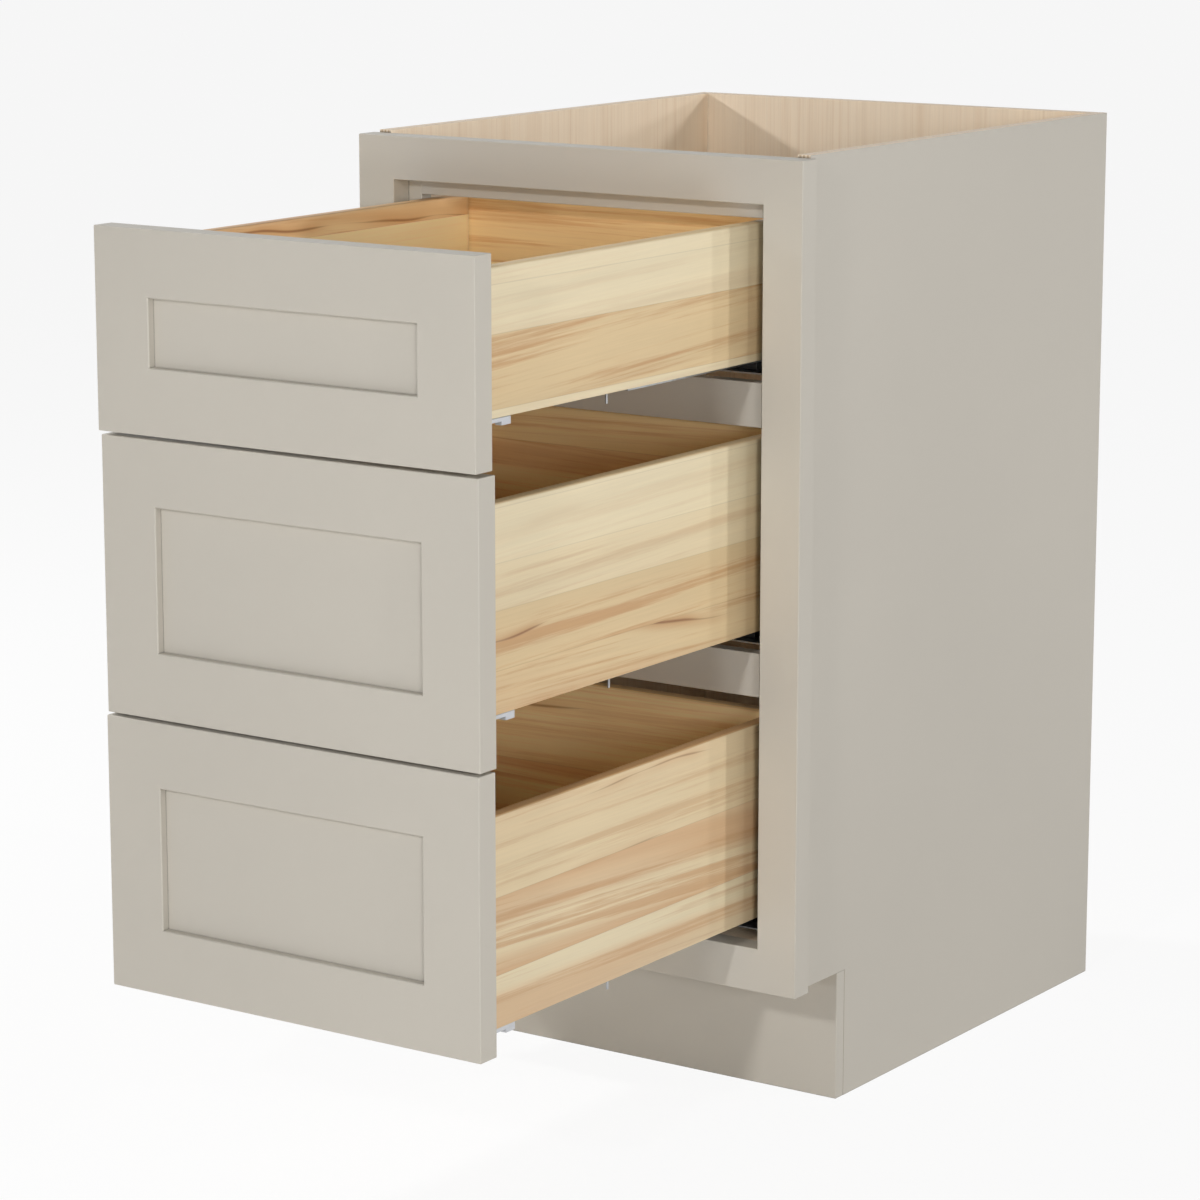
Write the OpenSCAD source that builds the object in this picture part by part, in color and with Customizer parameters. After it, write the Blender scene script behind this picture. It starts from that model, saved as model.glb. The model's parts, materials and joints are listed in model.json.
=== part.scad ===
// Vanity drawer base: an inset face-frame cabinet with three drawers on hidden runners.
// X runs across the width, Y runs from the drawer fronts to the wall and Z runs up.
// The drawers are drawn pulled out; the open distances are in the last section.

/* [Cabinet] */
// Width across the face frame
cabinet_width = 457.2; // [380:0.1:700]
// Depth from the front of the face frame to the wall
cabinet_depth = 546.1; // [500:0.1:700]
// Height of the side panels above the floor
cabinet_height = 825.5; // [740:0.1:930]
// Thickness of the side, back, floor and toe boards
panel_thickness = 12.7; // [9:0.1:16]
// How far the face frame stands out past each side panel
frame_overhang = 6.35; // [0.5:0.05:10]
// How far the cabinet floor lies below the top of the bottom rail
floor_drop = 1; // [0:0.1:4]

/* [Face frame] */
// Distance from the top of the side panels to the top of the face frame
frame_top_drop = 2.4; // [0:0.1:20]
// Height of the frame's underside above the floor
frame_bottom = 111.9; // [90:0.1:113]
// Width of each stile
stile_width = 38.1; // [32:0.1:50]
// Height of the top, bottom and middle rails
rail_height = 38.1; // [30:0.1:45]
// Thickness of the frame members
frame_thickness = 22.2; // [22:0.1:30]

/* [Toe space] */
// Height of the notch in the side panels
toe_height = 114.3; // [90:0.1:130]
// Distance from the front of the face frame to the toe board
toe_setback = 80; // [50:0.5:110]

/* [Backing] */
// How far the backing shows inside the frame opening
backing_lip = 14; // [8:0.1:18]
// Thickness of the backing strips and of the rails between the drawers
backing_thickness = 14; // [12:0.1:19]
// Distance from the top of the side panels to the top of the backing
backing_top_drop = 13.5; // [3:0.1:20]

/* [Drawer fronts] */
// Thickness of the front frames
front_thickness = 21.6; // [20:0.1:21.9]
// Gap between a front and each stile
front_side_gap = 3.2; // [1.5:0.1:5]
// Share of the height that the top front takes
top_front_share = 6.5; // [5:0.1:9]
// Share of the height that the middle front takes
middle_front_share = 9; // [6:0.1:10]
// Share of the height that the bottom front takes
bottom_front_share = 9; // [6:0.1:10]
// Gap under the bottom front
bottom_gap = 3.2; // [1.5:0.1:5]
// Gap between the bottom and middle fronts
lower_gap = 2.2; // [1.5:0.1:5]
// Gap between the middle and top fronts
upper_gap = 3.4; // [1.5:0.1:5]
// Gap above the top front
top_gap = 3.9; // [1.5:0.1:6]
// Flat width of the front's stiles and rails, up to the small bevel
front_member_width = 54; // [40:0.1:62.5]
// Width of the small bevel on the inner edges
bevel_width = 0.8; // [0.5:0.1:5]
// Depth of the small bevel
bevel_depth = 0.8; // [0.5:0.1:6.8]
// Depth of the centre panel's face behind the front
panel_recess = 7.2; // [7:0.1:9]
// Thickness of the centre panel
centre_panel_thickness = 6.4; // [5:0.1:8]
// Depth of the groove that holds the centre panel
panel_groove_depth = 8; // [7.5:0.1:10]

/* [Drawer boxes] */
// Thickness of the box boards
box_board = 12.7; // [10:0.1:15]
// Gap between a box side and the backing strip beside it
box_side_gap = 3.5; // [1:0.1:6]
// Height of each box above the rail under it
box_lift = 18.5; // [17:0.1:24]
// Space between the top box and the backing above it
top_box_space = 3.1; // [1:0.1:30]
// Space between the middle box and the rail above it
middle_box_space = 8.9; // [1:0.1:40]
// Space between the bottom box and the rail above it
bottom_box_space = 23.3; // [1:0.1:60]
// Height of the bottom panel above the lower edges of the box
bottom_panel_rise = 12.8; // [12:0.1:16]
// Thickness of the bottom panel
bottom_panel_thickness = 6; // [4:0.1:9]
// Depth of the grooves that hold the bottom panel
dado_depth = 6; // [4:0.1:7]
// Distance of the front screws from the box's inner side face
front_screw_inset = 12; // [8:0.1:14]
// Height of the lower front screws above the box's lower edge
front_screw_low = 32; // [26:0.5:45]
// Distance of the upper front screws below the box's top edge
front_screw_high = 22; // [8:0.5:40]
// Depth of the front screws in the front's stiles
front_screw_bite = 13; // [8:0.5:18]

/* [Runners] */
// Free depth between the ends of the runners and the back panel
rear_space = 40; // [25:0.1:60]
// Thickness of the folded sheet steel
sheet = 1.2; // [0.8:0.05:1.5]
// Depth of the fixed rail's underside below the box
fixed_rail_drop = 14; // [13:0.1:16]
// Height of the fixed rail's inner lip
fixed_lip_height = 7; // [4:0.1:8]
// Height of the fixed rail's outer flange
fixed_flange_height = 32; // [24:0.1:40]
// Distance of the outer flange from the face of the backing strip
flange_inset = 1.1; // [0.5:0.1:4]
// Width of the ear that screws to the backing strip
ear_width = 25; // [18:0.1:29]
// Gap between the fixed rail's inner lip and the sliding rail
lip_gap = 3; // [1:0.1:6]
// Distance of the sliding rail's nose behind the backing when the drawer is shut
nose_setback = 11.8; // [11.5:0.1:20]
// How much shorter the sliding rail is than the fixed rail
sliding_rail_short = 27.2; // [20:0.1:80]
// Depth of the sliding rail's underside below the box
sliding_rail_drop = 5; // [4:0.1:6]
// Height of the sliding rail
sliding_rail_height = 14; // [10:0.1:15]
// Width of the sliding rail's wings beside its uprights
wing_width = 4.5; // [2:0.1:5]
// Gap between the drawer rail's flange and the sliding rail's upright
upright_gap = 2.8; // [1:0.1:5]
// Width of the drawer rail
drawer_rail_width = 38; // [30:0.1:44]
// Depth of the drawer rail's flanges
drawer_rail_height = 11.8; // [9:0.1:12]
// Gap between the drawer rail and the box side
drawer_rail_gap = 2.3; // [1:0.1:5]
// Clearance between the notches in the box back and the rails
notch_clearance = 3; // [1:0.1:6]
// Clearance of the sliding plastic blocks
slide_clearance = 0.3; // [0.2:0.05:0.5]
// Length of the guide blocks and nose glides
glide_length = 30; // [15:0.5:40]
// Distance of the guide block behind the fixed rail's front end
guide_setback = 14; // [13:0.1:30]
// Distance of the stop tab behind the front of the box
stop_tab_place = 180; // [120:0.5:300]
// Width of the stop tab
stop_tab_width = 2; // [1.5:0.1:8]
// Reach of the stop tab past the drawer rail
stop_tab_reach = 10; // [6:0.1:12]
// Depth of the stop tab below the box
stop_tab_drop = 9; // [4:0.1:11]
// Gap between the stop tab and the lower edge of the box side
stop_tab_gap = 0.3; // [0.2:0.05:1]
// Width of the hook tab behind the box
hook_tab_width = 10; // [7:0.1:14]
// Height of the hook tab's top above the box's lower edge
hook_tab_top = 34; // [31:0.1:45]
// Height of the hook pin above the box's lower edge
hook_pin_height = 27; // [24:0.1:28]
// Radius of the hook pin
hook_pin_radius = 2.9; // [2:0.05:3.2]
// Length of the hook pin
hook_pin_length = 8; // [4:0.1:9]
// Radial clearance of the hook pin in the box back
hook_pin_clearance = 0.1; // [0.05:0.01:0.3]

/* [Rear brackets] */
// Wall thickness of the rear brackets
bracket_wall = 2.2; // [1.5:0.1:3]
// Length of fixed rail that a rear bracket holds
bracket_overlap = 15; // [8:0.1:30]
// Height of the bracket's inner wall
bracket_inner_height = 11; // [6:0.1:12]
// Height of the bracket's outer wall
bracket_outer_height = 26; // [16:0.1:30]
// Height of the bracket's back plate
bracket_plate_height = 30; // [24:0.1:36]
// Width of the bracket's screw ear
bracket_ear = 13; // [11:0.1:18]
// Clearance between a bracket and the rail that it holds
bracket_clearance = 0.3; // [0.2:0.05:0.5]

/* [Locking clips] */
// Length of a clip along the drawer
clip_length = 38; // [30:0.1:50]
// Width of a clip
clip_width = 34; // [28:0.1:40]
// Gap between a clip and its neighbours
clip_gap = 0.3; // [0.2:0.05:0.5]
// Depth of a clip's underside below the box
clip_drop = 0.2; // [0:0.05:0.5]
// Distance of the lever's pin from the box side's inner face
lever_pin_inset = 10.3; // [8:0.1:14]
// Distance of the lever's pin behind the box front
lever_pin_setback = 6.3; // [6:0.1:7]
// Radius of the lever's pin
lever_pin_radius = 2; // [1.5:0.05:2.5]
// Radial clearance between a lever and its pin
lever_bore_clearance = 0.08; // [0.03:0.01:0.1]
// Radius of the lever's hub
lever_hub_radius = 5; // [4:0.1:5.5]
// Thickness of the lever
lever_thickness = 3.4; // [2:0.1:4]
// Gap above and below the lever
lever_gap = 0.4; // [0.3:0.05:0.6]
// Radius of the head on the lever's pin
lever_head_radius = 3; // [2.8:0.1:4]
// Thickness of the head on the lever's pin
lever_head_thickness = 1.4; // [1:0.1:2]
// Reach of the lever past the box side's inner face
lever_reach = 11.2; // [9:0.1:12]
// Width of the lever's finger
lever_finger_width = 6.5; // [4:0.1:7]
// Length of the lever's finger behind the pin
lever_finger_length = 27; // [20:0.1:30]
// Length of the thumb tab at the end of the finger
thumb_tab_length = 12; // [8:0.1:16]
// Depth of the thumb tab below the lever
thumb_tab_depth = 3; // [2:0.1:6]

/* [Screws] */
// Radius of the screw shanks
screw_radius = 1.75; // [1.25:0.05:2.2]
// Radius of the screw heads
screw_head_radius = 4; // [3:0.1:5]
// Thickness of the screw heads
screw_head_thickness = 1.6; // [1:0.1:2.5]
// Radial clearance of the screw holes
screw_clearance = 0.05; // [0.02:0.01:0.3]
// Depth of the runner screws in the wood
screw_bite = 9; // [5:0.5:11]
// Space left past the tip of a screw in its hole
screw_tip_space = 0.5; // [0.2:0.1:1]
// Distance of each ear screw from the middle of its ear
screw_spread = 9; // [6:0.5:10]

/* [Fits] */
// Clearance on each face of the thin panels in their grooves
groove_clearance = 0.1; // [0.05:0.05:0.3]
// Space at the bottom of the grooves
groove_end_space = 0.2; // [0.1:0.05:0.5]

/* [Open distances] */
// How far the top drawer is pulled out
top_open = 397; // [0:0.1:457]
// How far the middle drawer is pulled out
middle_open = 393.7; // [0:0.1:457]
// How far the bottom drawer is pulled out
bottom_open = 395.3; // [0:0.1:457]

/* [Hidden] */
$fn = 32;
// Overshoot of a cut past the faces that it opens
cut = 1;

// The origin is on the floor, midway between the open fronts and the wall
longest_open = max(top_open, middle_open, bottom_open);
middle_y = (cabinet_depth - longest_open) / 2;

// Faces across the width, measured from the middle
half_width = cabinet_width / 2;
side_outer = half_width - frame_overhang;
side_inner = side_outer - panel_thickness;
opening_half = half_width - stile_width;
strip_inner = opening_half - backing_lip;
front_half = opening_half - front_side_gap;
member_inner = front_half - front_member_width - bevel_width;
box_outer = strip_inner - box_side_gap;
box_inner = box_outer - box_board;

// Heights of the cabinet
frame_top = cabinet_height - frame_top_drop;
opening_bottom = frame_bottom + rail_height;
opening_top = frame_top - rail_height;
floor_top = opening_bottom - floor_drop;
backing_top = cabinet_height - backing_top_drop;
lip_bottom = opening_top - backing_lip;

// Height that the three fronts share, and the height of one share
fronts_height = opening_top - opening_bottom - bottom_gap - lower_gap - upper_gap - top_gap;
share_height = fronts_height / (top_front_share + middle_front_share + bottom_front_share);

// Heights of the fronts, as [lower edge, upper edge]
bottom_front_low = opening_bottom + bottom_gap;
bottom_front_z = [bottom_front_low, bottom_front_low + bottom_front_share * share_height];
middle_front_low = bottom_front_z[1] + lower_gap;
middle_front_z = [middle_front_low, middle_front_low + middle_front_share * share_height];
top_front_z = [middle_front_z[1] + upper_gap, opening_top - top_gap];

// Rails between the drawers, centred on the gaps between the fronts
lower_mid_low = bottom_front_z[1] + lower_gap / 2 - rail_height / 2;
lower_mid_z = [lower_mid_low, lower_mid_low + rail_height];
upper_mid_low = middle_front_z[1] + upper_gap / 2 - rail_height / 2;
upper_mid_z = [upper_mid_low, upper_mid_low + rail_height];

// Heights of the boxes, as [lower edge, upper edge]
bottom_box_z = [opening_bottom + box_lift, lower_mid_z[0] - bottom_box_space];
middle_box_z = [lower_mid_z[1] + box_lift, upper_mid_z[0] - middle_box_space];
top_box_z = [upper_mid_z[1] + box_lift, lip_bottom - top_box_space];
box_levels = [bottom_box_z[0], middle_box_z[0], top_box_z[0]];

// Depths, measured from the front of the face frame with the drawers shut
backing_front = frame_thickness;
backing_back = backing_front + backing_thickness;
back_front = cabinet_depth - panel_thickness;
box_y = front_thickness;
// Length of the runners and of the drawer boxes
runner_length = back_front - backing_back - rear_space;
sliding_rail_length = runner_length - sliding_rail_short;
rail_y = [backing_back, backing_back + runner_length];
nose_y = backing_back + nose_setback;
toe_back = toe_setback + panel_thickness;

// Faces of one runner across the width, right-hand side
drawer_rail_x = [box_inner - drawer_rail_gap - drawer_rail_width, box_inner - drawer_rail_gap];
upright_x = [
    drawer_rail_x[0] + sheet + upright_gap,
    drawer_rail_x[1] - sheet - upright_gap
];
wing_x = [upright_x[0] - wing_width, upright_x[1] + wing_width];
flange_x = strip_inner + flange_inset;
fixed_rail_x = [wing_x[0] - lip_gap - sheet, flange_x + sheet];
ear_x = [fixed_rail_x[1], fixed_rail_x[1] + ear_width];
ear_screw_x = fixed_rail_x[1] + ear_width / 2;

// Heights of one runner, measured from the lower edge of its box
fixed_rail_z = [-fixed_rail_drop, -fixed_rail_drop + sheet];
sliding_rail_z = [-sliding_rail_drop, -sliding_rail_drop + sheet];
sliding_rail_top = -sliding_rail_drop + sliding_rail_height;
drawer_rail_z = [bottom_panel_rise - sheet, bottom_panel_rise];
drawer_flange_low = bottom_panel_rise - drawer_rail_height;
ear_screw_z = -fixed_rail_drop + fixed_flange_height / 2;

// Rear bracket
bracket_floor = -fixed_rail_drop - bracket_wall;
bracket_x = [
    fixed_rail_x[0] - bracket_clearance - bracket_wall,
    fixed_rail_x[1] + bracket_clearance + bracket_wall
];
bracket_y = [rail_y[1] - bracket_overlap, back_front];
bracket_plate_front = back_front - bracket_wall;
bracket_screw_x = bracket_x[1] + bracket_ear / 2;
bracket_screw_z = bracket_floor + bracket_plate_height / 2;

// Locking clip and its lever
clip_y = [box_board, box_board + clip_length];
clip_x = [box_inner - clip_gap - clip_width, box_inner - clip_gap];
drawer_rail_y = [clip_y[1] + clip_gap, runner_length + clip_gap + sheet];
// Front of the sliding rail's uprights and glide, just behind the clip of a shut drawer
upright_front = box_y + drawer_rail_y[0];
pin_x = box_inner - lever_pin_inset;
pin_y = box_board + lever_pin_setback;
lever_z = [-clip_drop - lever_gap - lever_thickness, -clip_drop - lever_gap];
lever_tip_x = box_inner + lever_reach;
head_z = lever_z[0] - lever_gap - lever_head_thickness;

// Front screws and the hook
front_screw_x = box_inner - front_screw_inset;
hook_x = (drawer_rail_x[0] + drawer_rail_x[1]) / 2;

// Colours
paint = [0.745, 0.714, 0.667];
maple = [0.88, 0.79, 0.68];
pale_wood = [0.87, 0.81, 0.67];
steel = [0.62, 0.63, 0.64];
black_plastic = [0.08, 0.08, 0.08];
grey_plastic = [0.80, 0.81, 0.83];
screw_steel = [0.70, 0.70, 0.70];

// Moves a piece from the shut position to its place, pulled out by a distance
module pulled(distance) {
    translate([0, -distance - middle_y, 0]) children();
}

// A piece and its mirror image on the other side of the cabinet
module both_sides() {
    children();
    mirror([1, 0, 0]) children();
}

// A block between two values on each axis
module block(x, y, z) {
    translate([x[0], y[0], z[0]]) cube([x[1] - x[0], y[1] - y[0], z[1] - z[0]]);
}

// A round bar along Y between two depths
module y_bar(x, y, z, radius) {
    translate([x, y[0], z]) rotate([-90, 0, 0]) cylinder(r = radius, h = y[1] - y[0]);
}

// A screw along Y, with its head's flat side at head_y and its tip at tip_y
module y_screw(x, head_y, tip_y, z) {
    back = head_y < tip_y ? -1 : 1;
    top = head_y + back * screw_head_thickness;
    y_bar(x, [min(head_y, tip_y), max(head_y, tip_y)], z, screw_radius);
    y_bar(x, [min(head_y, top), max(head_y, top)], z, screw_head_radius);
}

// The hole for such a screw, with a little space past its tip
module y_screw_hole(x, head_y, tip_y, z) {
    ahead = head_y < tip_y ? 1 : -1;
    end = tip_y + ahead * screw_tip_space;
    start = head_y - ahead * cut;
    y_bar(x, [min(start, end), max(start, end)], z, screw_radius + screw_clearance);
}

// Cabinet boards

// One side panel with its toe notch, on the right
module side_panel() {
    translate([side_inner, 0, 0])
        rotate([90, 0, 90])
            linear_extrude(panel_thickness)
                polygon([
                    [backing_front, cabinet_height],
                    [backing_front, toe_height],
                    [toe_back, toe_height],
                    [toe_back, 0],
                    [cabinet_depth, 0],
                    [cabinet_depth, cabinet_height]
                ]);
}

module side_panel_left() {
    color(paint) pulled(0) mirror([1, 0, 0]) side_panel();
}

module side_panel_right() {
    color(paint) pulled(0) side_panel();
}

module back_panel() {
    color(maple) pulled(0) difference() {
        block([-side_inner, side_inner], [back_front, cabinet_depth], [0, cabinet_height]);
        for (level = box_levels) both_sides() bracket_screw_holes(level);
    }
}

module floor_panel() {
    color(maple) pulled(0)
        block(
            [-side_inner, side_inner],
            [backing_front, back_front],
            [floor_top - panel_thickness, floor_top]
        );
}

module toe_kick_board() {
    color(paint) pulled(0)
        block([-side_outer, side_outer], [toe_setback, toe_back], [0, toe_height]);
}

// Face frame

// One stile of the face frame, on the right
module frame_stile() {
    block([opening_half, half_width], [0, frame_thickness], [frame_bottom, frame_top]);
}

module frame_stile_left() {
    color(paint) pulled(0) mirror([1, 0, 0]) frame_stile();
}

module frame_stile_right() {
    color(paint) pulled(0) frame_stile();
}

module frame_top_rail() {
    color(paint) pulled(0)
        block([-opening_half, opening_half], [0, frame_thickness], [opening_top, frame_top]);
}

module frame_bottom_rail() {
    color(paint) pulled(0)
        block([-opening_half, opening_half], [0, frame_thickness], [frame_bottom, opening_bottom]);
}

// Backing behind the frame

module backing_strips() {
    color(paint) pulled(0) both_sides() difference() {
        block([strip_inner, side_inner], [backing_front, backing_back], [floor_top, backing_top]);
        for (level = box_levels) ear_screw_holes(level);
    }
}

// A rail between the backing strips
module backing_rail(z) {
    block([-strip_inner, strip_inner], [backing_front, backing_back], z);
}

module backing_top_rail() {
    color(paint) pulled(0) backing_rail([lip_bottom, backing_top]);
}

module upper_mid_rail() {
    color(paint) pulled(0) backing_rail(upper_mid_z);
}

module lower_mid_rail() {
    color(paint) pulled(0) backing_rail(lower_mid_z);
}

// Fixed half of the runners

// The two screws in the front ear of a fixed rail
module ear_screws(level) {
    middle = level + ear_screw_z;
    for (z = [middle - screw_spread, middle + screw_spread])
        y_screw(ear_screw_x, rail_y[0] + sheet, rail_y[0] - screw_bite, z);
}

module ear_screw_holes(level) {
    middle = level + ear_screw_z;
    for (z = [middle - screw_spread, middle + screw_spread])
        y_screw_hole(ear_screw_x, rail_y[0] + sheet, rail_y[0] - screw_bite, z);
}

// The two screws in the plate of a rear bracket
module bracket_screws(level) {
    middle = level + bracket_screw_z;
    for (z = [middle - screw_spread, middle + screw_spread])
        y_screw(bracket_screw_x, bracket_plate_front, back_front + screw_bite, z);
}

module bracket_screw_holes(level) {
    middle = level + bracket_screw_z;
    for (z = [middle - screw_spread, middle + screw_spread])
        y_screw_hole(bracket_screw_x, bracket_plate_front, back_front + screw_bite, z);
}

// A fixed rail of folded steel, on the right
module fixed_rail() {
    base = fixed_rail_z[0];
    flange_z = [base, base + fixed_flange_height];
    block(fixed_rail_x, rail_y, fixed_rail_z);
    block([fixed_rail_x[0], fixed_rail_x[0] + sheet], rail_y, [base, base + fixed_lip_height]);
    block([flange_x, fixed_rail_x[1]], rail_y, flange_z);
    difference() {
        block([flange_x, ear_x[1]], [rail_y[0], rail_y[0] + sheet], flange_z);
        ear_screw_holes(0);
    }
}

module fixed_rails() {
    color(steel) pulled(0)
        for (level = box_levels) both_sides() translate([0, 0, level]) fixed_rail();
}

// The block at the front of a fixed rail that the sliding rail slides on
module guide_block() {
    front = rail_y[0] + guide_setback;
    block(upright_x, [front, front + glide_length], [fixed_rail_z[1], sliding_rail_z[0] - slide_clearance]);
}

module guide_blocks() {
    color(black_plastic) pulled(0)
        for (level = box_levels) both_sides() translate([0, 0, level]) guide_block();
}

// The tray and plate that hold the rear end of a fixed rail
module rear_bracket() {
    base = bracket_floor;
    block(bracket_x, bracket_y, [base, -fixed_rail_drop]);
    block([bracket_x[0], bracket_x[0] + bracket_wall], bracket_y, [base, base + bracket_inner_height]);
    block([bracket_x[1] - bracket_wall, bracket_x[1]], bracket_y, [base, base + bracket_outer_height]);
    difference() {
        block(
            [bracket_x[0], bracket_x[1] + bracket_ear],
            [bracket_plate_front, back_front],
            [base, base + bracket_plate_height]
        );
        bracket_screw_holes(0);
    }
}

module rear_brackets() {
    color(grey_plastic) pulled(0)
        for (level = box_levels) both_sides() translate([0, 0, level]) rear_bracket();
}

module runner_screws() {
    color(screw_steel) pulled(0)
        for (level = box_levels) both_sides() {
            ear_screws(level);
            bracket_screws(level);
        }
}

// Sliding rails, which move half as far as the drawer

module sliding_rail() {
    y = [nose_y, nose_y + sliding_rail_length];
    upright_y = [upright_front, y[1]];
    upright_z = [sliding_rail_z[0], sliding_rail_top];
    block(wing_x, y, sliding_rail_z);
    block([upright_x[0], upright_x[0] + sheet], upright_y, upright_z);
    block([upright_x[1] - sheet, upright_x[1]], upright_y, upright_z);
}

module sliding_rails(level, open) {
    color(steel) pulled(open / 2) both_sides() translate([0, 0, level]) sliding_rail();
}

// The glide between the uprights of a sliding rail that the drawer rail slides on
module nose_glides(level, open) {
    x = [upright_x[0] + sheet, upright_x[1] - sheet];
    y = [upright_front, upright_front + glide_length];
    z = [level + sliding_rail_z[1], level + drawer_rail_z[0] - slide_clearance];
    color(black_plastic) pulled(open / 2) both_sides() block(x, y, z);
}

// Drawer fronts

// Outline of a front stile seen from above, on the right, with its bevel and panel groove
module stile_outline() {
    groove_front = panel_recess - groove_clearance;
    groove_back = panel_recess + centre_panel_thickness + groove_clearance;
    polygon([
        [front_half, 0],
        [front_half, front_thickness],
        [member_inner, front_thickness],
        [member_inner, groove_back],
        [member_inner + panel_groove_depth, groove_back],
        [member_inner + panel_groove_depth, groove_front],
        [member_inner, groove_front],
        [member_inner, bevel_depth],
        [member_inner + bevel_width, 0]
    ]);
}

module front_stile(z) {
    translate([0, 0, z[0]]) linear_extrude(z[1] - z[0]) stile_outline();
}

module front_stiles(z, box_z, open) {
    color(paint) pulled(open) both_sides() difference() {
        front_stile(z);
        front_screw_holes(box_z);
    }
}

// A lower front rail before coping, long enough for its tongues to fill the stiles' grooves
module uncoped_rail(z) {
    reach = member_inner + panel_groove_depth - groove_end_space;
    translate([-reach, 0, z[0] + front_half])
        rotate([0, 90, 0])
            linear_extrude(2 * reach)
                stile_outline();
}

// Rails coped over the stiles' bevels and tongued into their grooves, the upper one turned over
module front_rails(z, open) {
    middle = (z[0] + z[1]) / 2;
    color(paint) pulled(open) difference() {
        union() {
            uncoped_rail(z);
            translate([0, 0, middle]) mirror([0, 0, 1]) translate([0, 0, -middle]) uncoped_rail(z);
        }
        both_sides() front_stile(z);
    }
}

module front_panel(z, open) {
    edge = member_inner + panel_groove_depth - groove_end_space;
    margin = front_half - edge;
    color(paint) pulled(open)
        block(
            [-edge, edge],
            [panel_recess, panel_recess + centre_panel_thickness],
            [z[0] + margin, z[1] - margin]
        );
}

// Two screws on the right that hold the front, from inside the box
module front_screw_pair(box_z) {
    head_y = box_y + box_board;
    tip_y = box_y - front_screw_bite;
    for (z = [box_z[0] + front_screw_low, box_z[1] - front_screw_high])
        y_screw(front_screw_x, head_y, tip_y, z);
}

module front_screw_holes(box_z) {
    head_y = box_y + box_board;
    tip_y = box_y - front_screw_bite;
    for (z = [box_z[0] + front_screw_low, box_z[1] - front_screw_high])
        y_screw_hole(front_screw_x, head_y, tip_y, z);
}

module front_screws(box_z, open) {
    color(screw_steel) pulled(open) both_sides() front_screw_pair(box_z);
}

// Drawer boxes

// Space of the bottom panel with its groove clearance, as a cut in the boards around it
module dado(box_z) {
    reach = box_inner + dado_depth;
    low = box_z[0] + bottom_panel_rise - groove_clearance;
    high = low + bottom_panel_thickness + 2 * groove_clearance;
    block([-reach, reach], [box_board - dado_depth, runner_length - box_board + dado_depth], [low, high]);
}

// The groove in a box side runs out through both ends
module side_dado(box_z) {
    low = box_z[0] + bottom_panel_rise - groove_clearance;
    high = low + bottom_panel_thickness + 2 * groove_clearance;
    block([box_inner - cut, box_inner + dado_depth], [-cut, runner_length + cut], [low, high]);
}

module box_sides(box_z, open) {
    color(pale_wood) pulled(open) translate([0, box_y, 0]) both_sides() difference() {
        block([box_inner, box_outer], [0, runner_length], box_z);
        side_dado(box_z);
    }
}

module box_front(box_z, open) {
    color(pale_wood) pulled(open) difference() {
        translate([0, box_y, 0]) difference() {
            block([-box_inner, box_inner], [0, box_board], box_z);
            dado(box_z);
        }
        both_sides() front_screw_holes(box_z);
    }
}

// The box back is notched at its lower corners for the rails and bored for the hook pins
module box_back(box_z, open) {
    back = [runner_length - box_board, runner_length];
    notch_x = [drawer_rail_x[0] - notch_clearance, box_inner + cut];
    color(pale_wood) pulled(open) translate([0, box_y, 0]) difference() {
        block([-box_inner, box_inner], back, box_z);
        dado(box_z);
        both_sides() {
            block(notch_x, [back[0] - cut, back[1] + cut], [box_z[0] - cut, box_z[0] + bottom_panel_rise]);
            y_bar(
                hook_x,
                [runner_length - hook_pin_length - clip_gap, runner_length + cut],
                box_z[0] + hook_pin_height,
                hook_pin_radius + hook_pin_clearance
            );
        }
    }
}

module box_bottom(box_z, open) {
    reach = box_inner + dado_depth - groove_end_space;
    inset = box_board - dado_depth + groove_end_space;
    low = box_z[0] + bottom_panel_rise;
    color(pale_wood) pulled(open) translate([0, box_y, 0])
        block([-reach, reach], [inset, runner_length - inset], [low, low + bottom_panel_thickness]);
}

// Drawer rails

// Folded channel under the bottom panel, with its stop tab and rear hook, on the right
module drawer_rail() {
    tab_y = [stop_tab_place, stop_tab_place + stop_tab_width];
    tab_z = [-stop_tab_gap - sheet, -stop_tab_gap];
    tab_end = drawer_rail_x[1] + stop_tab_reach;
    hook_tab_x = [hook_x - hook_tab_width / 2, hook_x + hook_tab_width / 2];
    hook_y = [drawer_rail_y[1] - sheet, drawer_rail_y[1]];
    flange_z = [drawer_flange_low, drawer_rail_z[1]];
    block(drawer_rail_x, drawer_rail_y, drawer_rail_z);
    block([drawer_rail_x[0], drawer_rail_x[0] + sheet], drawer_rail_y, flange_z);
    block([drawer_rail_x[1] - sheet, drawer_rail_x[1]], drawer_rail_y, flange_z);
    block([drawer_rail_x[1] - sheet, drawer_rail_x[1]], tab_y, [tab_z[0], flange_z[1]]);
    block([drawer_rail_x[1] - sheet, tab_end], tab_y, tab_z);
    block([tab_end - sheet, tab_end], tab_y, [-stop_tab_drop, tab_z[1]]);
    block(hook_tab_x, hook_y, [drawer_rail_z[0], hook_tab_top]);
    y_bar(hook_x, [hook_y[0] - hook_pin_length, hook_y[0]], hook_pin_height, hook_pin_radius);
}

module drawer_rails(box_z, open) {
    color(steel) pulled(open) translate([0, box_y, box_z[0]]) both_sides() drawer_rail();
}

// Locking clips

// Clip body with the headed pin that its lever turns on, on the right
module locking_clip() {
    block(clip_x, clip_y, [-clip_drop, bottom_panel_rise]);
    translate([pin_x, pin_y, head_z]) cylinder(r = lever_pin_radius, h = -clip_drop - head_z);
    translate([pin_x, pin_y, head_z]) cylinder(r = lever_head_radius, h = lever_head_thickness);
}

module locking_clips(box_z, open) {
    color(grey_plastic) pulled(open) translate([0, box_y, box_z[0]]) both_sides() locking_clip();
}

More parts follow.
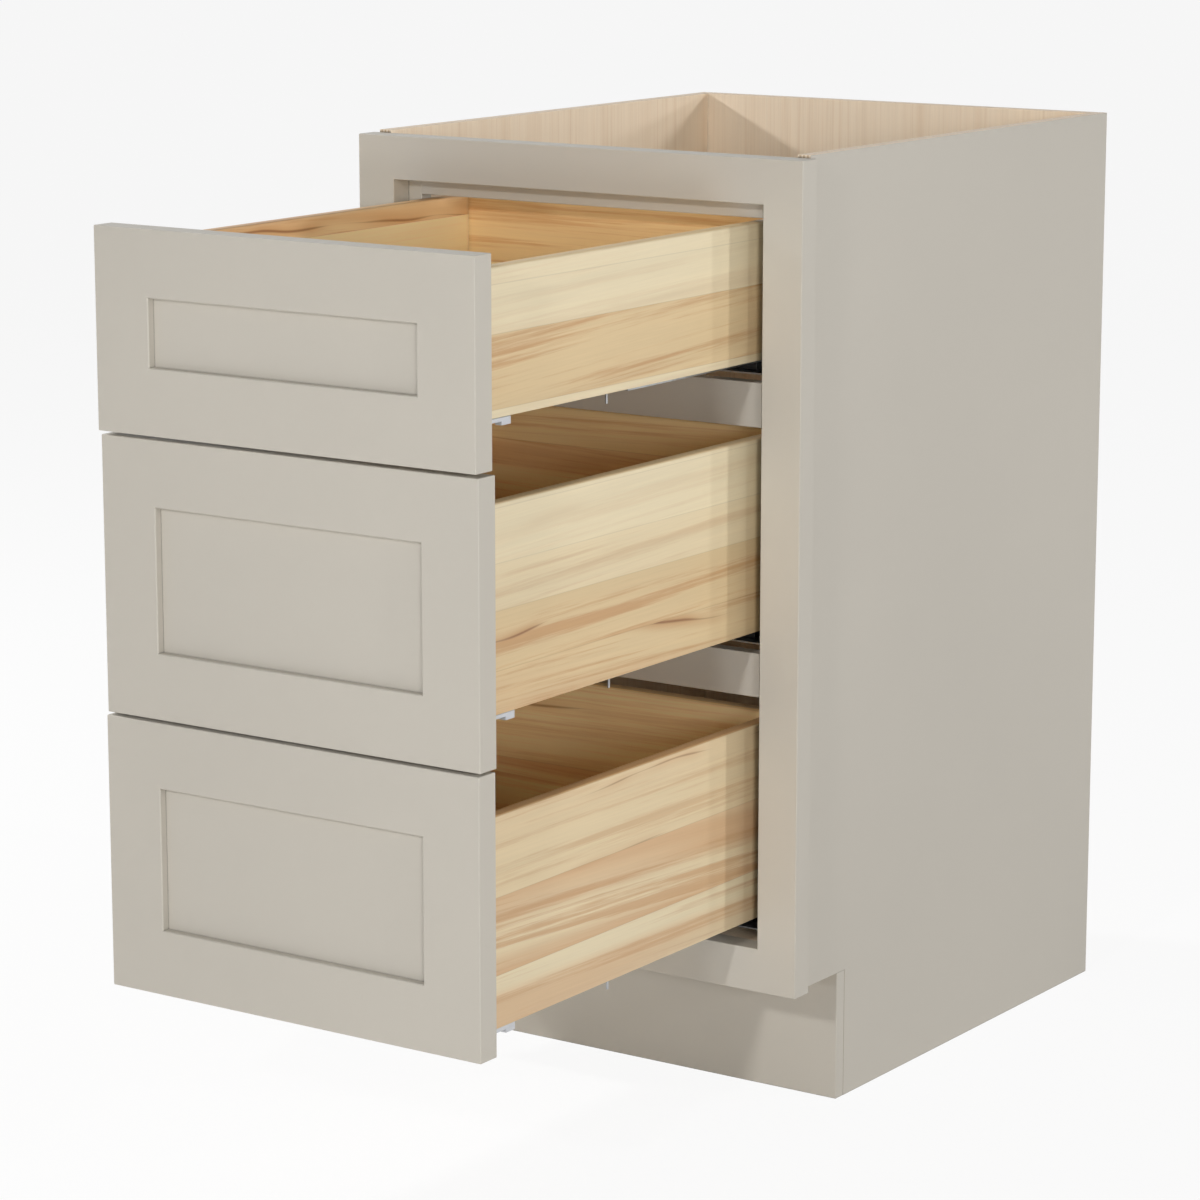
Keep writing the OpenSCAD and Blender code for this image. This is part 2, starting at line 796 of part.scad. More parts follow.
// Release lever: hub, arm under the box side, finger and thumb tab, on the right
module lever() {
    finger_x = [lever_tip_x - lever_finger_width, lever_tip_x];
    finger_end = pin_y + lever_finger_length;
    arm_half = lever_hub_radius - lever_gap;
    thumb_z = [lever_z[0] - thumb_tab_depth, lever_z[1]];
    difference() {
        union() {
            translate([pin_x, pin_y, lever_z[0]]) cylinder(r = lever_hub_radius, h = lever_thickness);
            block([pin_x, lever_tip_x], [pin_y - arm_half, pin_y + arm_half], lever_z);
            block(finger_x, [pin_y, finger_end], lever_z);
            block(finger_x, [finger_end - thumb_tab_length, finger_end], thumb_z);
        }
        translate([pin_x, pin_y, lever_z[0] - cut])
            cylinder(r = lever_pin_radius + lever_bore_clearance, h = lever_thickness + 2 * cut);
    }
}

module lever_right(box_z, open) {
    color(grey_plastic) pulled(open) translate([0, box_y, box_z[0]]) lever();
}

module lever_left(box_z, open) {
    color(grey_plastic) pulled(open) translate([0, box_y, box_z[0]]) mirror([1, 0, 0]) lever();
}

// Pieces of each drawer

module top_sliding_rails() { sliding_rails(top_box_z[0], top_open); }
module top_nose_glides() { nose_glides(top_box_z[0], top_open); }
module top_front_stiles() { front_stiles(top_front_z, top_box_z, top_open); }
module top_front_rails() { front_rails(top_front_z, top_open); }
module top_front_panel() { front_panel(top_front_z, top_open); }
module top_box_sides() { box_sides(top_box_z, top_open); }
module top_box_front() { box_front(top_box_z, top_open); }
module top_box_back() { box_back(top_box_z, top_open); }
module top_box_bottom() { box_bottom(top_box_z, top_open); }
module top_drawer_rails() { drawer_rails(top_box_z, top_open); }
module top_locking_clips() { locking_clips(top_box_z, top_open); }
module top_lever_left() { lever_left(top_box_z, top_open); }
module top_lever_right() { lever_right(top_box_z, top_open); }
module top_front_screws() { front_screws(top_box_z, top_open); }

module middle_sliding_rails() { sliding_rails(middle_box_z[0], middle_open); }
module middle_nose_glides() { nose_glides(middle_box_z[0], middle_open); }
module middle_front_stiles() { front_stiles(middle_front_z, middle_box_z, middle_open); }
module middle_front_rails() { front_rails(middle_front_z, middle_open); }
module middle_front_panel() { front_panel(middle_front_z, middle_open); }
module middle_box_sides() { box_sides(middle_box_z, middle_open); }
module middle_box_front() { box_front(middle_box_z, middle_open); }
module middle_box_back() { box_back(middle_box_z, middle_open); }
module middle_box_bottom() { box_bottom(middle_box_z, middle_open); }
module middle_drawer_rails() { drawer_rails(middle_box_z, middle_open); }
module middle_locking_clips() { locking_clips(middle_box_z, middle_open); }
module middle_lever_left() { lever_left(middle_box_z, middle_open); }
module middle_lever_right() { lever_right(middle_box_z, middle_open); }
module middle_front_screws() { front_screws(middle_box_z, middle_open); }

module bottom_sliding_rails() { sliding_rails(bottom_box_z[0], bottom_open); }
module bottom_nose_glides() { nose_glides(bottom_box_z[0], bottom_open); }
module bottom_front_stiles() { front_stiles(bottom_front_z, bottom_box_z, bottom_open); }
module bottom_front_rails() { front_rails(bottom_front_z, bottom_open); }
module bottom_front_panel() { front_panel(bottom_front_z, bottom_open); }
module bottom_box_sides() { box_sides(bottom_box_z, bottom_open); }
module bottom_box_front() { box_front(bottom_box_z, bottom_open); }
module bottom_box_back() { box_back(bottom_box_z, bottom_open); }
module bottom_box_bottom() { box_bottom(bottom_box_z, bottom_open); }
module bottom_drawer_rails() { drawer_rails(bottom_box_z, bottom_open); }
module bottom_locking_clips() { locking_clips(bottom_box_z, bottom_open); }
module bottom_lever_left() { lever_left(bottom_box_z, bottom_open); }
module bottom_lever_right() { lever_right(bottom_box_z, bottom_open); }
module bottom_front_screws() { front_screws(bottom_box_z, bottom_open); }

side_panel_left();
side_panel_right();
back_panel();
floor_panel();
toe_kick_board();
frame_stile_left();
frame_stile_right();
frame_top_rail();
frame_bottom_rail();
backing_strips();
backing_top_rail();
upper_mid_rail();
lower_mid_rail();
fixed_rails();
guide_blocks();
rear_brackets();
runner_screws();
top_sliding_rails();
top_nose_glides();
middle_sliding_rails();
middle_nose_glides();
bottom_sliding_rails();
bottom_nose_glides();
top_front_stiles();
top_front_rails();
top_front_panel();
top_box_sides();
top_box_front();
top_box_back();
top_box_bottom();
top_drawer_rails();
top_locking_clips();
top_lever_left();
top_lever_right();
top_front_screws();
middle_front_stiles();
middle_front_rails();
middle_front_panel();
middle_box_sides();
middle_box_front();
middle_box_back();
middle_box_bottom();
middle_drawer_rails();
middle_locking_clips();
middle_lever_left();
middle_lever_right();
middle_front_screws();
bottom_front_stiles();
bottom_front_rails();
bottom_front_panel();
bottom_box_sides();
bottom_box_front();
bottom_box_back();
bottom_box_bottom();
bottom_drawer_rails();
bottom_locking_clips();
bottom_lever_left();
bottom_lever_right();
bottom_front_screws();
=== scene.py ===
import json
import math

import bmesh
import bpy
from bpy.props import FloatProperty, FloatVectorProperty, PointerProperty
from mathutils import Matrix, Vector


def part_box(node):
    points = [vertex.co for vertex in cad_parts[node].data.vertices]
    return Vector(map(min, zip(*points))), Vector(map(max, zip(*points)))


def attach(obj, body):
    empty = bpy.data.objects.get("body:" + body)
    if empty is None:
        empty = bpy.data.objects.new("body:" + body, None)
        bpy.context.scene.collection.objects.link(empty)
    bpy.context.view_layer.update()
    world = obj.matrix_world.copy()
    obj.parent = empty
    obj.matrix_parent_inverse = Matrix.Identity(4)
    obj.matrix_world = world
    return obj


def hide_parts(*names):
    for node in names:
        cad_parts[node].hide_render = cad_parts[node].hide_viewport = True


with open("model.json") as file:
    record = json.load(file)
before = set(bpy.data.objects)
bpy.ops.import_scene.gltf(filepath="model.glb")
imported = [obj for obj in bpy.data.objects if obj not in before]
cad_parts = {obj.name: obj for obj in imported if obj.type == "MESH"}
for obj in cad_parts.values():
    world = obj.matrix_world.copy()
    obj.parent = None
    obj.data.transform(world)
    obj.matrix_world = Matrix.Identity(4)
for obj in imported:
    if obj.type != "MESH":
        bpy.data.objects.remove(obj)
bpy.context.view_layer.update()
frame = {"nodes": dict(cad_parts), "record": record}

bl_info = {
    "name": "Vanity drawer base",
    "version": (1, 0, 0),
    "blender": (4, 5, 0),
    "location": "View3D > Sidebar > Vanity",
    "description": "Eases the boards of a vanity drawer base and adds its finishes and a stage",
    "category": "Object",
}

DRAWERS = ("top", "middle", "bottom")
BODY_OF = {
    node: body
    for body, nodes in frame["record"]["behaviour"]["bodies"].items()
    for node in nodes
}
MM = 0.001
# Vertices closer than this are one vertex
WELD = 0.01 * MM
# Faces within this angle are one flat face
FLAT = math.radians(0.5)
# An edge sharper than this is an arris
ARRIS = math.radians(30)
# Distance within which an edge counts as lying on a plane
NEAR = 0.05 * MM
# Share of an edge's length along an axis above which it runs along it
PARALLEL = 0.999
# A face of sheet steel is wider than this beside a fold, and narrower at a cut edge
CUT_EDGE = 3 * MM

# Noise cells per metre along, across and through the grain
FIBRES = (14, 620, 420)
GROWTH_BANDS = (1.3, 46, 16)
HEARTWOOD = (0.8, 22, 5)
SOFT_STREAKS = (1.7, 80, 9)
LINE_WANDER = (2.2, 4, 4)
LINE_PATCHES = (5, 9, 9)
KNOT_CELLS = (2.9, 7.5, 3)
VENEER_LINES = (3, 210, 60)
ROLLING_MARKS = (900, 40, 900)
# Noise cells per metre, alike in all directions
PAINT_WANDER = 3
PAINT_GRIT = 620
PLASTIC_WANDER = 60
PLASTIC_GRIT = 1800
SAWN_GRAIN = 300
SPANGLES = 260
FLOOR_WANDER = 0.4

# Mineral lines: rows per metre across the grain, and in rows how far they wander, their widest
# and least half width, and that of the halo round them
LINE_ROWS, LINE_SWING, LINE_WIDEST, LINE_LEAST, HALO = 17, 1.2, 0.03, 0.002, 0.16
# Knots: the random values between which a cell comes to hold one, and its core and rim in cells
KNOT_RARITY, KNOT_CORE, KNOT_RIM = (0.86, 0.88), 0.008, 0.045
# Panels of boards: steps per metre that set one panel apart from the next, the boards skipped and
# the figure's shift at each step, and the figure's shift and lean from board to board
PANEL_STEPS, PANEL_SKIP, PANEL_SHIFT, BOARD_SHIFT, BOARD_LEAN = 4, 265.98, 2.3, 5, 0.1
# Width of a glued seam, as a share of a board's mean width
SEAM = 0.012
# Tints for painted shade on the upward faces of a drawer's boards, and for painted bounce light
# on the faces inside a drawer
UPWARD_SHADE_TINT = (0.95, 0.84, 0.7)
INSIDE_BOUNCE_TINT = (1.32, 1.27, 1.13)
# Thickness of one ply
PLY = 1.8 * MM
# How much of a face's normal lies along an axis where the face counts as turned that way
TURNED = (0.6, 0.7)
# Distances within which painted shade darkens the joints of wood, steel and plastic, and along
# the raw edges of the side panels
WOOD_JOINT, STEEL_JOINT, PLASTIC_JOINT, RAW_JOINT = 6 * MM, 4 * MM, 3 * MM, 4 * MM
# Shares of the sky seen where the painted shade of a crease is darkest and where it ends
CREASED, OPEN = 0.25, 0.95
# Distance from an edge of plastic that counts as its arris for painted highlight and wear, and the
# cosines between the rounded and the flat normal where that is strongest and where it ends
PLASTIC_ARRIS, ARRIS_TURNED, ARRIS_FLAT = 0.4 * MM, 0.8, 0.995
# Distances from a ply's middle, in plies, where its glue line begins and where it is full
GLUE = (0.42, 0.48)
# Depths of the relief on wood, steel and plastic, and the roughness of the clear coat's surface
FIBRE_DEPTH, ROLLED_DEPTH, MOULDED_DEPTH, COAT_ROUGHNESS = 0.03 * MM, 0.01 * MM, 0.02 * MM, 0.3

# Outline of a pan head above its seat, as shares of its radius and height
PAN_HEAD = ((1, 0.35), (0.9, 0.75), (0.66, 0.94))
# Length, width and depth of an arm of the cross recess, as shares of radius, radius and height
RECESS = (1.15, 0.26, 1.1)
# Radians that a screw is turned for each metre that it lies to the side and up
SCREW_TURNS = (40, 90)
SCREW_SIDES = 32
# Nail heads: rows on a board, sides, and how deep they sit and stand proud
NAIL_ROWS, NAIL_SIDES, NAIL_DEPTH, NAIL_CROWN = 4, 12, 0.6 * MM, 0.1 * MM

# Point that the lamps face, and each lamp's place, whether its shadows are soft, and its power
AIM = (0, 0, 0.42)
LAMPS = {
    "Front_high_lamp": ((0.6, -3.4, 1.9), False, 31),
    "Front_low_lamp": ((0.6, -3.7, 0.6), False, 14),
    "Front_right_lamp": ((2.45, -2.6, 0.95), True, 24),
    "Left_lamp": ((-2.8, -0.3, 2.1), False, 64),
    "Right_front_lamp": ((3.4, -1.0, 1.3), False, 11),
    "Right_lamp": ((3.4, 1.3, 1.3), False, 26),
    "Right_rear_lamp": ((3.2, 2.6, 1.3), False, 17),
}


def linear(red, green, blue):
    """A colour on the 0 to 255 scale as linear values."""
    values = (channel / 255 for channel in (red, green, blue))
    return tuple(v / 12.92 if v <= 0.04045 else ((v + 0.055) / 1.055) ** 2.4 for v in values)


def colour(name, description, red, green, blue):
    """A colour setting."""
    return FloatVectorProperty(
        name=name, description=description, subtype="COLOR", size=3, min=0, max=1,
        default=linear(red, green, blue),
    )


def length(name, description, value):
    """A length setting, its default in millimetres."""
    return FloatProperty(
        name=name, description=description, default=value * MM, min=0, unit="LENGTH"
    )


def factor(name, description, value):
    """A setting from 0 to 1."""
    return FloatProperty(name=name, description=description, default=value, min=0, max=1)


class PaintSettings(bpy.types.PropertyGroup):
    """Satin paint on the frame, fronts, sides and toe board"""

    shade: colour("Paint", "Colour of the paint", 195.4, 190, 179.6)
    roughness: factor("Roughness", "Roughness of the paint", 0.42)
    mottle: factor("Mottle", "How far the paint's tone wanders", 0.05)
    crease: factor("Crease shade", "How dark the creases between members are", 0.45)
    crease_reach: length("Crease reach", "Distance from a crease that is darkened", 1.6)
    grit: length("Spray texture", "Depth of the sprayed texture", 0.05)


class WoodSettings(bpy.types.PropertyGroup):
    """Solid boards of the drawers and plywood of the cabinet"""

    pale: colour("Pale board", "Sapwood boards", 233, 218, 184)
    tan: colour("Tan board", "Darker boards", 222, 197, 154)
    red: colour("Red board", "Heartwood boards", 211, 171, 129)
    streak: colour("Streak", "Soft streaks along the boards", 193, 143, 95)
    mineral: colour("Mineral line", "Thin dark lines and knots", 128, 80, 46)
    board_width: length("Board width", "Mean width of the boards glued into a panel", 55)
    veneer: colour("Veneer", "Pale face veneer of the plywood", 251, 233, 208)
    veneer_dark: colour("Veneer grain", "Grain lines of the face veneer", 230, 202, 171)
    core: colour("Core plies", "Cross plies seen at a raw edge", 196, 160, 118)
    roughness: factor("Roughness", "Roughness of the clear coat", 0.5)


class HardwareSettings(bpy.types.PropertyGroup):
    """Steel and plastic of the runners, clips and screws"""

    steel: colour("Rail steel", "Zinc-plated sheet", 172, 174, 176)
    screw: colour("Screw steel", "Bright zinc screws", 196, 196, 194)
    black: colour("Black plastic", "Slide blocks", 26, 26, 27)
    grey: colour("Grey plastic", "Clips, levers and rear brackets", 206, 209, 214)
    filler: colour("Nail filler", "Filled nail heads on the drawer sides", 240, 232, 208)


class EdgeSettings(bpy.types.PropertyGroup):
    """Sizes of the rounded edges and small fasteners"""

    board: length("Painted arris", "Radius of the painted arrises", 0.8)
    ply: length("Plywood arris", "Radius of the plywood edges", 0.4)
    box_top: length("Drawer top edge", "Radius of the drawer boxes' top edges", 2.6)
    box: length("Drawer arris", "Radius of the boxes' other edges", 0.5)
    bend: length("Sheet bend", "Outer radius of the folds in the steel", 1.5)
    plastic: length("Plastic edge", "Radius of the moulded edges", 0.5)
    nail: length("Nail head", "Radius of the filled nail heads", 0.9)


class StageSettings(bpy.types.PropertyGroup):
    """Camera, lamps and floor"""

    camera_place: FloatVectorProperty(
        name="Camera", description="Place of the camera", subtype="TRANSLATION", unit="LENGTH",
        default=(1.9452, -2.8707, 1.1275),
    )
    camera_turn: FloatProperty(
        name="Turn", description="Turn of the camera about the vertical", subtype="ANGLE",
        default=math.radians(34.435),
    )
    camera_pitch: FloatProperty(
        name="Pitch", description="Angle of the camera below the horizon", subtype="ANGLE",
        default=math.radians(11.542),
    )
    lens: FloatProperty(name="Lens", description="Focal length in mm", default=120.58, min=1)
    soft_lamp: length("Soft lamp", "Side of the lamps that cast soft shadows", 550)
    hard_lamp: length("Hard lamp", "Side of the lamps that cast crisp shadows", 200)
    sky: factor("Sky", "Strength of the light from all round", 0.15)
    floor: colour("Floor", "Colour of the floor as it lights the object", 240, 238, 235)
    backdrop: factor("Backdrop", "Level of the surround as the camera sees it", 0.92)
    glow: factor("Floor glow", "Level of the floor's glow as the camera sees it", 0.99)
    glow_share: factor("Glow share", "Share of the glow in the floor that the camera sees", 0.92)


class Nodes:
    """Adds nodes to one tree by short calls; an input takes a value or another node's output."""

    def __init__(self, tree):
        self.tree = tree

    def feed(self, socket, value):
        if isinstance(value, bpy.types.NodeSocket):
            self.tree.links.new(value, socket)
        elif socket.type == "RGBA":
            socket.default_value = (*tuple(value)[:3], 1)
        else:
            socket.default_value = value

    def add(self, kind, inputs=(), **fields):
        node = self.tree.nodes.new(kind)
        for field, value in fields.items():
            setattr(node, field, value)
        for socket, value in dict(inputs).items():
            self.feed(node.inputs[socket], value)
        return node

    def math(self, operation, *values):
        return self.add("ShaderNodeMath", enumerate(values), operation=operation).outputs[0]

    def mix(self, amount, first, second):
        inputs = {0: amount, 6: first, 7: second}
        return self.add("ShaderNodeMix", inputs, data_type="RGBA").outputs[2]

    def ramp(self, value, low, high):
        """0 below low and 1 above high, with a smooth step between."""
        inputs = {0: value, 1: low, 2: high}
        return self.add("ShaderNodeMapRange", inputs, interpolation_type="SMOOTHSTEP").outputs[0]

    def fade(self, value, low, high):
        """1 below low and 0 above high."""
        return self.math("SUBTRACT", 1, self.ramp(value, low, high))

    def swing(self, value, amount):
        """A value around a half, spread to 1 plus or minus about the amount."""
        return self.math("MULTIPLY_ADD", value, 2 * amount, 1 - amount)

    def less(self, mask, amount):
        """1, less the amount where a mask is 1."""
        return self.math("MULTIPLY_ADD", mask, -amount, 1)

    def scaled(self, vector, scales):
        """A vector or colour times three numbers, or times one."""
        inputs = {0: vector, 1: scales if isinstance(scales, tuple) else (scales,) * 3}
        return self.add("ShaderNodeVectorMath", inputs, operation="MULTIPLY").outputs[0]

    def noise(self, vector, scales, detail=2, roughness=0.5):
        """Noise of so many cells per metre."""
        vector = self.scaled(vector, scales)
        inputs = {"Vector": vector, "Scale": 1, "Detail": detail, "Roughness": roughness}
        return self.add("ShaderNodeTexNoise", inputs).outputs[0]

    def tinted(self, shade, brightness):
        """A colour times a brightness."""
        inputs = {0: shade, "Scale": brightness}
        return self.add("ShaderNodeVectorMath", inputs, operation="SCALE").outputs[0]

    def parts(self, vector):
        return self.add("ShaderNodeSeparateXYZ", {0: vector}).outputs

    def joined(self, x, y, z):
        return self.add("ShaderNodeCombineXYZ", {0: x, 1: y, 2: z}).outputs[0]

    def place(self, group, inputs):
        return self.add("ShaderNodeGroup", inputs, node_tree=group).outputs

    def object_place(self):
        return self.add("ShaderNodeTexCoord").outputs["Object"]

    def object_normal(self):
        return self.add("ShaderNodeTexCoord").outputs["Normal"]


def group_of(name, inputs, outputs, fill):
    """The node group of that name, built at its first use; inputs are (name, type, default)."""
    if name in bpy.data.node_groups:
        return bpy.data.node_groups[name]
    tree = bpy.data.node_groups.new(name, "ShaderNodeTree")
    for title, kind, default in inputs:
        socket = tree.interface.new_socket(title, in_out="INPUT", socket_type="NodeSocket" + kind)
        if default is not None:
            socket.default_value = default
    for title in outputs:
        tree.interface.new_socket(title, in_out="OUTPUT", socket_type="NodeSocketFloat")
    nodes = Nodes(tree)
    made = fill(nodes, nodes.add("NodeGroupInput").outputs)
    leave = nodes.add("NodeGroupOutput")
    for title, output in made.items():
        nodes.feed(leave.inputs[title], output)
    return tree


def fine_grit():
    """Small even bumps, as of sprayed paint or moulded plastic."""

    def fill(nodes, given):
        inputs = {"Vector": given["Vector"], "Scale": given["Per metre"], "Detail": 2}
        return {"Height": nodes.add("ShaderNodeTexNoise", inputs).outputs[0]}

    return group_of(
        "Fine grit", [("Vector", "Vector", None), ("Per metre", "Float", PAINT_GRIT)],
        ["Height"], fill,
    )


def crease_shade():
    """Mask for painted shade: 1 in the creases between members and 0 on open faces."""

    def fill(nodes, given):
        inputs = {"Distance": given["Reach"]}
        open_sky = nodes.add("ShaderNodeAmbientOcclusion", inputs, samples=8).outputs["AO"]
        return {"Crease": nodes.fade(open_sky, CREASED, OPEN)}

    return group_of("Crease shade", [("Reach", "Float", WOOD_JOINT)], ["Crease"], fill)


def arris_highlight_and_wear():
    """Mask for painted highlight and wear: 1 on the arrises and 0 on flat faces."""

    def fill(nodes, given):
        rounded = nodes.add("ShaderNodeBevel", {"Radius": given["Radius"]}, samples=4).outputs[0]
        flat = nodes.add("ShaderNodeNewGeometry").outputs["Normal"]
        inputs = {0: rounded, 1: flat}
        match = nodes.add("ShaderNodeVectorMath", inputs, operation="DOT_PRODUCT").outputs["Value"]
        return {"Arris": nodes.fade(match, ARRIS_TURNED, ARRIS_FLAT)}

    return group_of("Arris highlight and wear", [("Radius", "Float", PLASTIC_ARRIS)], ["Arris"], fill)


def wood_fibres():
    """Fine fibres and broad growth bands; the vector's X runs along the grain."""

    def fill(nodes, given):
        return {
            "Fibres": nodes.noise(given["Vector"], FIBRES, 3, 0.6),
            "Bands": nodes.noise(given["Vector"], GROWTH_BANDS, 3, 0.55),
        }

    return group_of("Wood fibres", [("Vector", "Vector", None)], ["Fibres", "Bands"], fill)


def glued_boards():
    """Boards of uneven width beside each other: two random tones for each, and the seams."""

    def fill(nodes, given):
        cells = {"W": given["Across"], "Scale": 1, "Randomness": 0.9}
        made = {"voronoi_dimensions": "1D"}
        shades = nodes.add("ShaderNodeTexVoronoi", cells, feature="F1", **made).outputs["Color"]
        edge = nodes.add("ShaderNodeTexVoronoi", cells, feature="DISTANCE_TO_EDGE", **made)
        shade = nodes.parts(shades)
        seam = nodes.fade(edge.outputs["Distance"], 0, SEAM)
        return {"Tone": shade[0], "Redness": shade[1], "Seam": seam}

    return group_of(
        "Glued boards", [("Across", "Float", 0.0)], ["Tone", "Redness", "Seam"], fill
    )


def heart_streaks():
    """Soft coloured streaks, thin mineral lines and small knots, along the vector's X."""

    def fill(nodes, given):
        vector = given["Vector"]
        soft = nodes.noise(vector, SOFT_STREAKS, 6, 0.7)
        wander = nodes.noise(vector, LINE_WANDER, 3)
        rows = nodes.math("MULTIPLY", nodes.parts(vector)[1], LINE_ROWS)
        place = nodes.math("FRACT", nodes.math("MULTIPLY_ADD", wander, LINE_SWING, rows))
        off = nodes.math("ABSOLUTE", nodes.math("SUBTRACT", place, 0.5))
        patches = nodes.ramp(nodes.noise(vector, LINE_PATCHES), 0.5, 0.68)
        width = nodes.math("MULTIPLY_ADD", patches, LINE_WIDEST, LINE_LEAST)
        line = nodes.math("MULTIPLY", nodes.fade(off, 0, width), patches)
        halo = nodes.math("MULTIPLY", nodes.fade(off, 0, HALO), patches)
        spots = {"Vector": nodes.scaled(vector, KNOT_CELLS), "Scale": 1, "Randomness": 1}
        spot = nodes.add("ShaderNodeTexVoronoi", spots, feature="F1").outputs
        rare = nodes.ramp(nodes.parts(spot["Color"])[0], *KNOT_RARITY)
        knot = nodes.math("MULTIPLY", nodes.fade(spot["Distance"], KNOT_CORE, KNOT_RIM), rare)
        streak = nodes.math("MAXIMUM", nodes.ramp(soft, 0.48, 0.64), halo)
        return {"Streak": streak, "Line": line, "Knot": knot}

    return group_of(
        "Heart streaks", [("Vector", "Vector", None)], ["Streak", "Line", "Knot"], fill
    )


def plywood_edge():
    """Alternate plies through a sheet, and the glue lines between them."""

    def fill(nodes, given):
        through = nodes.math("DIVIDE", given["Depth"], given["Ply"])
        part = nodes.math("FRACT", through)
        middle = nodes.math("ABSOLUTE", nodes.math("SUBTRACT", part, 0.5))
        cross = nodes.math("PINGPONG", nodes.math("FLOOR", through), 1)
        return {"Cross ply": cross, "Glue": nodes.ramp(middle, *GLUE)}

    return group_of(
        "Plywood edge", [("Depth", "Float", 0.0), ("Ply", "Float", PLY)],
        ["Cross ply", "Glue"], fill,
    )


def zinc_spangle():
    """Crystal patches of zinc plating and a fine rolled texture."""

    def fill(nodes, given):
        cells = {"Vector": given["Vector"], "Scale": SPANGLES, "Randomness": 1}
        patch = nodes.add("ShaderNodeTexVoronoi", cells, feature="F1").outputs["Color"]
        rolled = nodes.noise(given["Vector"], ROLLING_MARKS)
        return {"Patch": nodes.parts(patch)[0], "Rolled": rolled}

    return group_of("Zinc spangle", [("Vector", "Vector", None)], ["Patch", "Rolled"], fill)


def new_material(name):
    """A material with its Principled shader, and a helper that adds its nodes."""
    material = bpy.data.materials.new(name)
    material.use_nodes = True
    return material, Nodes(material.node_tree)


def finish(nodes, shade, roughness, height, depth, metallic=0.0, coat=0.0, specular=0.5):
    """Joins the looks to the material's Principled shader."""
    shader = nodes.tree.nodes["Principled BSDF"]
    nodes.feed(shader.inputs["Base Color"], shade)
    nodes.feed(shader.inputs["Roughness"], roughness)
    bump = nodes.add("ShaderNodeBump", {"Height": height, "Distance": depth, "Strength": 1})
    nodes.feed(shader.inputs["Normal"], bump.outputs[0])
    shader.inputs["Metallic"].default_value = metallic
    shader.inputs["Coat Weight"].default_value = coat
    shader.inputs["Coat Roughness"].default_value = COAT_ROUGHNESS
    shader.inputs["Specular IOR Level"].default_value = specular


def paint_look(nodes):
    """Colour, roughness and height of the satin paint."""
    paint = bpy.context.scene.vanity_paint
    where = nodes.object_place()
    wander = nodes.noise(where, PAINT_WANDER, 3, 0.55)
    crease = nodes.place(crease_shade(), {"Reach": paint.crease_reach})[0]
    tone = nodes.swing(wander, paint.mottle)
    # Painted shade darkens the paint in the creases
    tone = nodes.math("MULTIPLY", tone, nodes.less(crease, paint.crease))
    shade = nodes.tinted(tuple(paint.shade), tone)
    roughness = nodes.math("MULTIPLY", nodes.swing(wander, 0.15), paint.roughness)
    height = nodes.place(fine_grit(), {"Vector": where, "Per metre": PAINT_GRIT})[0]
    return shade, roughness, height


def greige_paint():
    """Satin paint over wood."""
    material, nodes = new_material("Greige_satin_paint")
    finish(nodes, *paint_look(nodes), bpy.context.scene.vanity_paint.grit, specular=0.3)
    return material


def grained(nodes, order):
    """Object coordinates with the grain along X; order names the axes along, across, through."""
    part = nodes.parts(nodes.object_place())
    return nodes.joined(*(part["XYZ".index(axis)] for axis in order))


def veneer_look(nodes, order):
    """Colour and height of the pale face veneer."""
    wood = bpy.context.scene.vanity_wood
    grain = grained(nodes, order)
    fibres = nodes.place(wood_fibres(), {"Vector": grain})
    lines = nodes.ramp(nodes.noise(grain, VENEER_LINES, 4, 0.6), 0.44, 0.76)
    bands = nodes.ramp(fibres["Bands"], 0.45, 0.8)
    dark = nodes.math("MULTIPLY", nodes.math("MAXIMUM", lines, bands), 0.5)
    shade = nodes.mix(dark, tuple(wood.veneer), tuple(wood.veneer_dark))
    return nodes.tinted(shade, nodes.swing(fibres["Fibres"], 0.07)), fibres["Fibres"]


def raw_edge(nodes, depth):
    """Colour of a raw plywood edge, by the depth through the sheet."""
    wood = bpy.context.scene.vanity_wood
    plies = nodes.place(plywood_edge(), {"Depth": depth, "Ply": PLY})
    core = nodes.math("MULTIPLY", plies["Cross ply"], 0.6)
    layers = nodes.mix(core, tuple(wood.veneer), tuple(wood.core))
    sawn = nodes.noise(nodes.object_place(), SAWN_GRAIN, 3, 0.6)
    tone = nodes.math("MULTIPLY_ADD", plies["Glue"], -0.3, nodes.swing(sawn, 0.14))
    return nodes.tinted(layers, tone)


def plywood(name, order):
    """Plywood with clear-coated veneer on its faces; the last axis runs through the sheet."""
    material, nodes = new_material(name)
    shade, height = veneer_look(nodes, order)
    through = "XYZ".index(order[2])
    facing = nodes.math("ABSOLUTE", nodes.parts(nodes.object_normal())[through])
    depth = nodes.parts(nodes.object_place())[through]
    crease = nodes.place(crease_shade(), {"Reach": WOOD_JOINT})[0]
    shade = nodes.mix(nodes.ramp(facing, *TURNED), raw_edge(nodes, depth), shade)
    # Painted shade darkens the plywood in the creases
    shade = nodes.tinted(shade, nodes.less(crease, 0.3))
    finish(nodes, shade, bpy.context.scene.vanity_wood.roughness, height, FIBRE_DEPTH, coat=0.1)
    return material


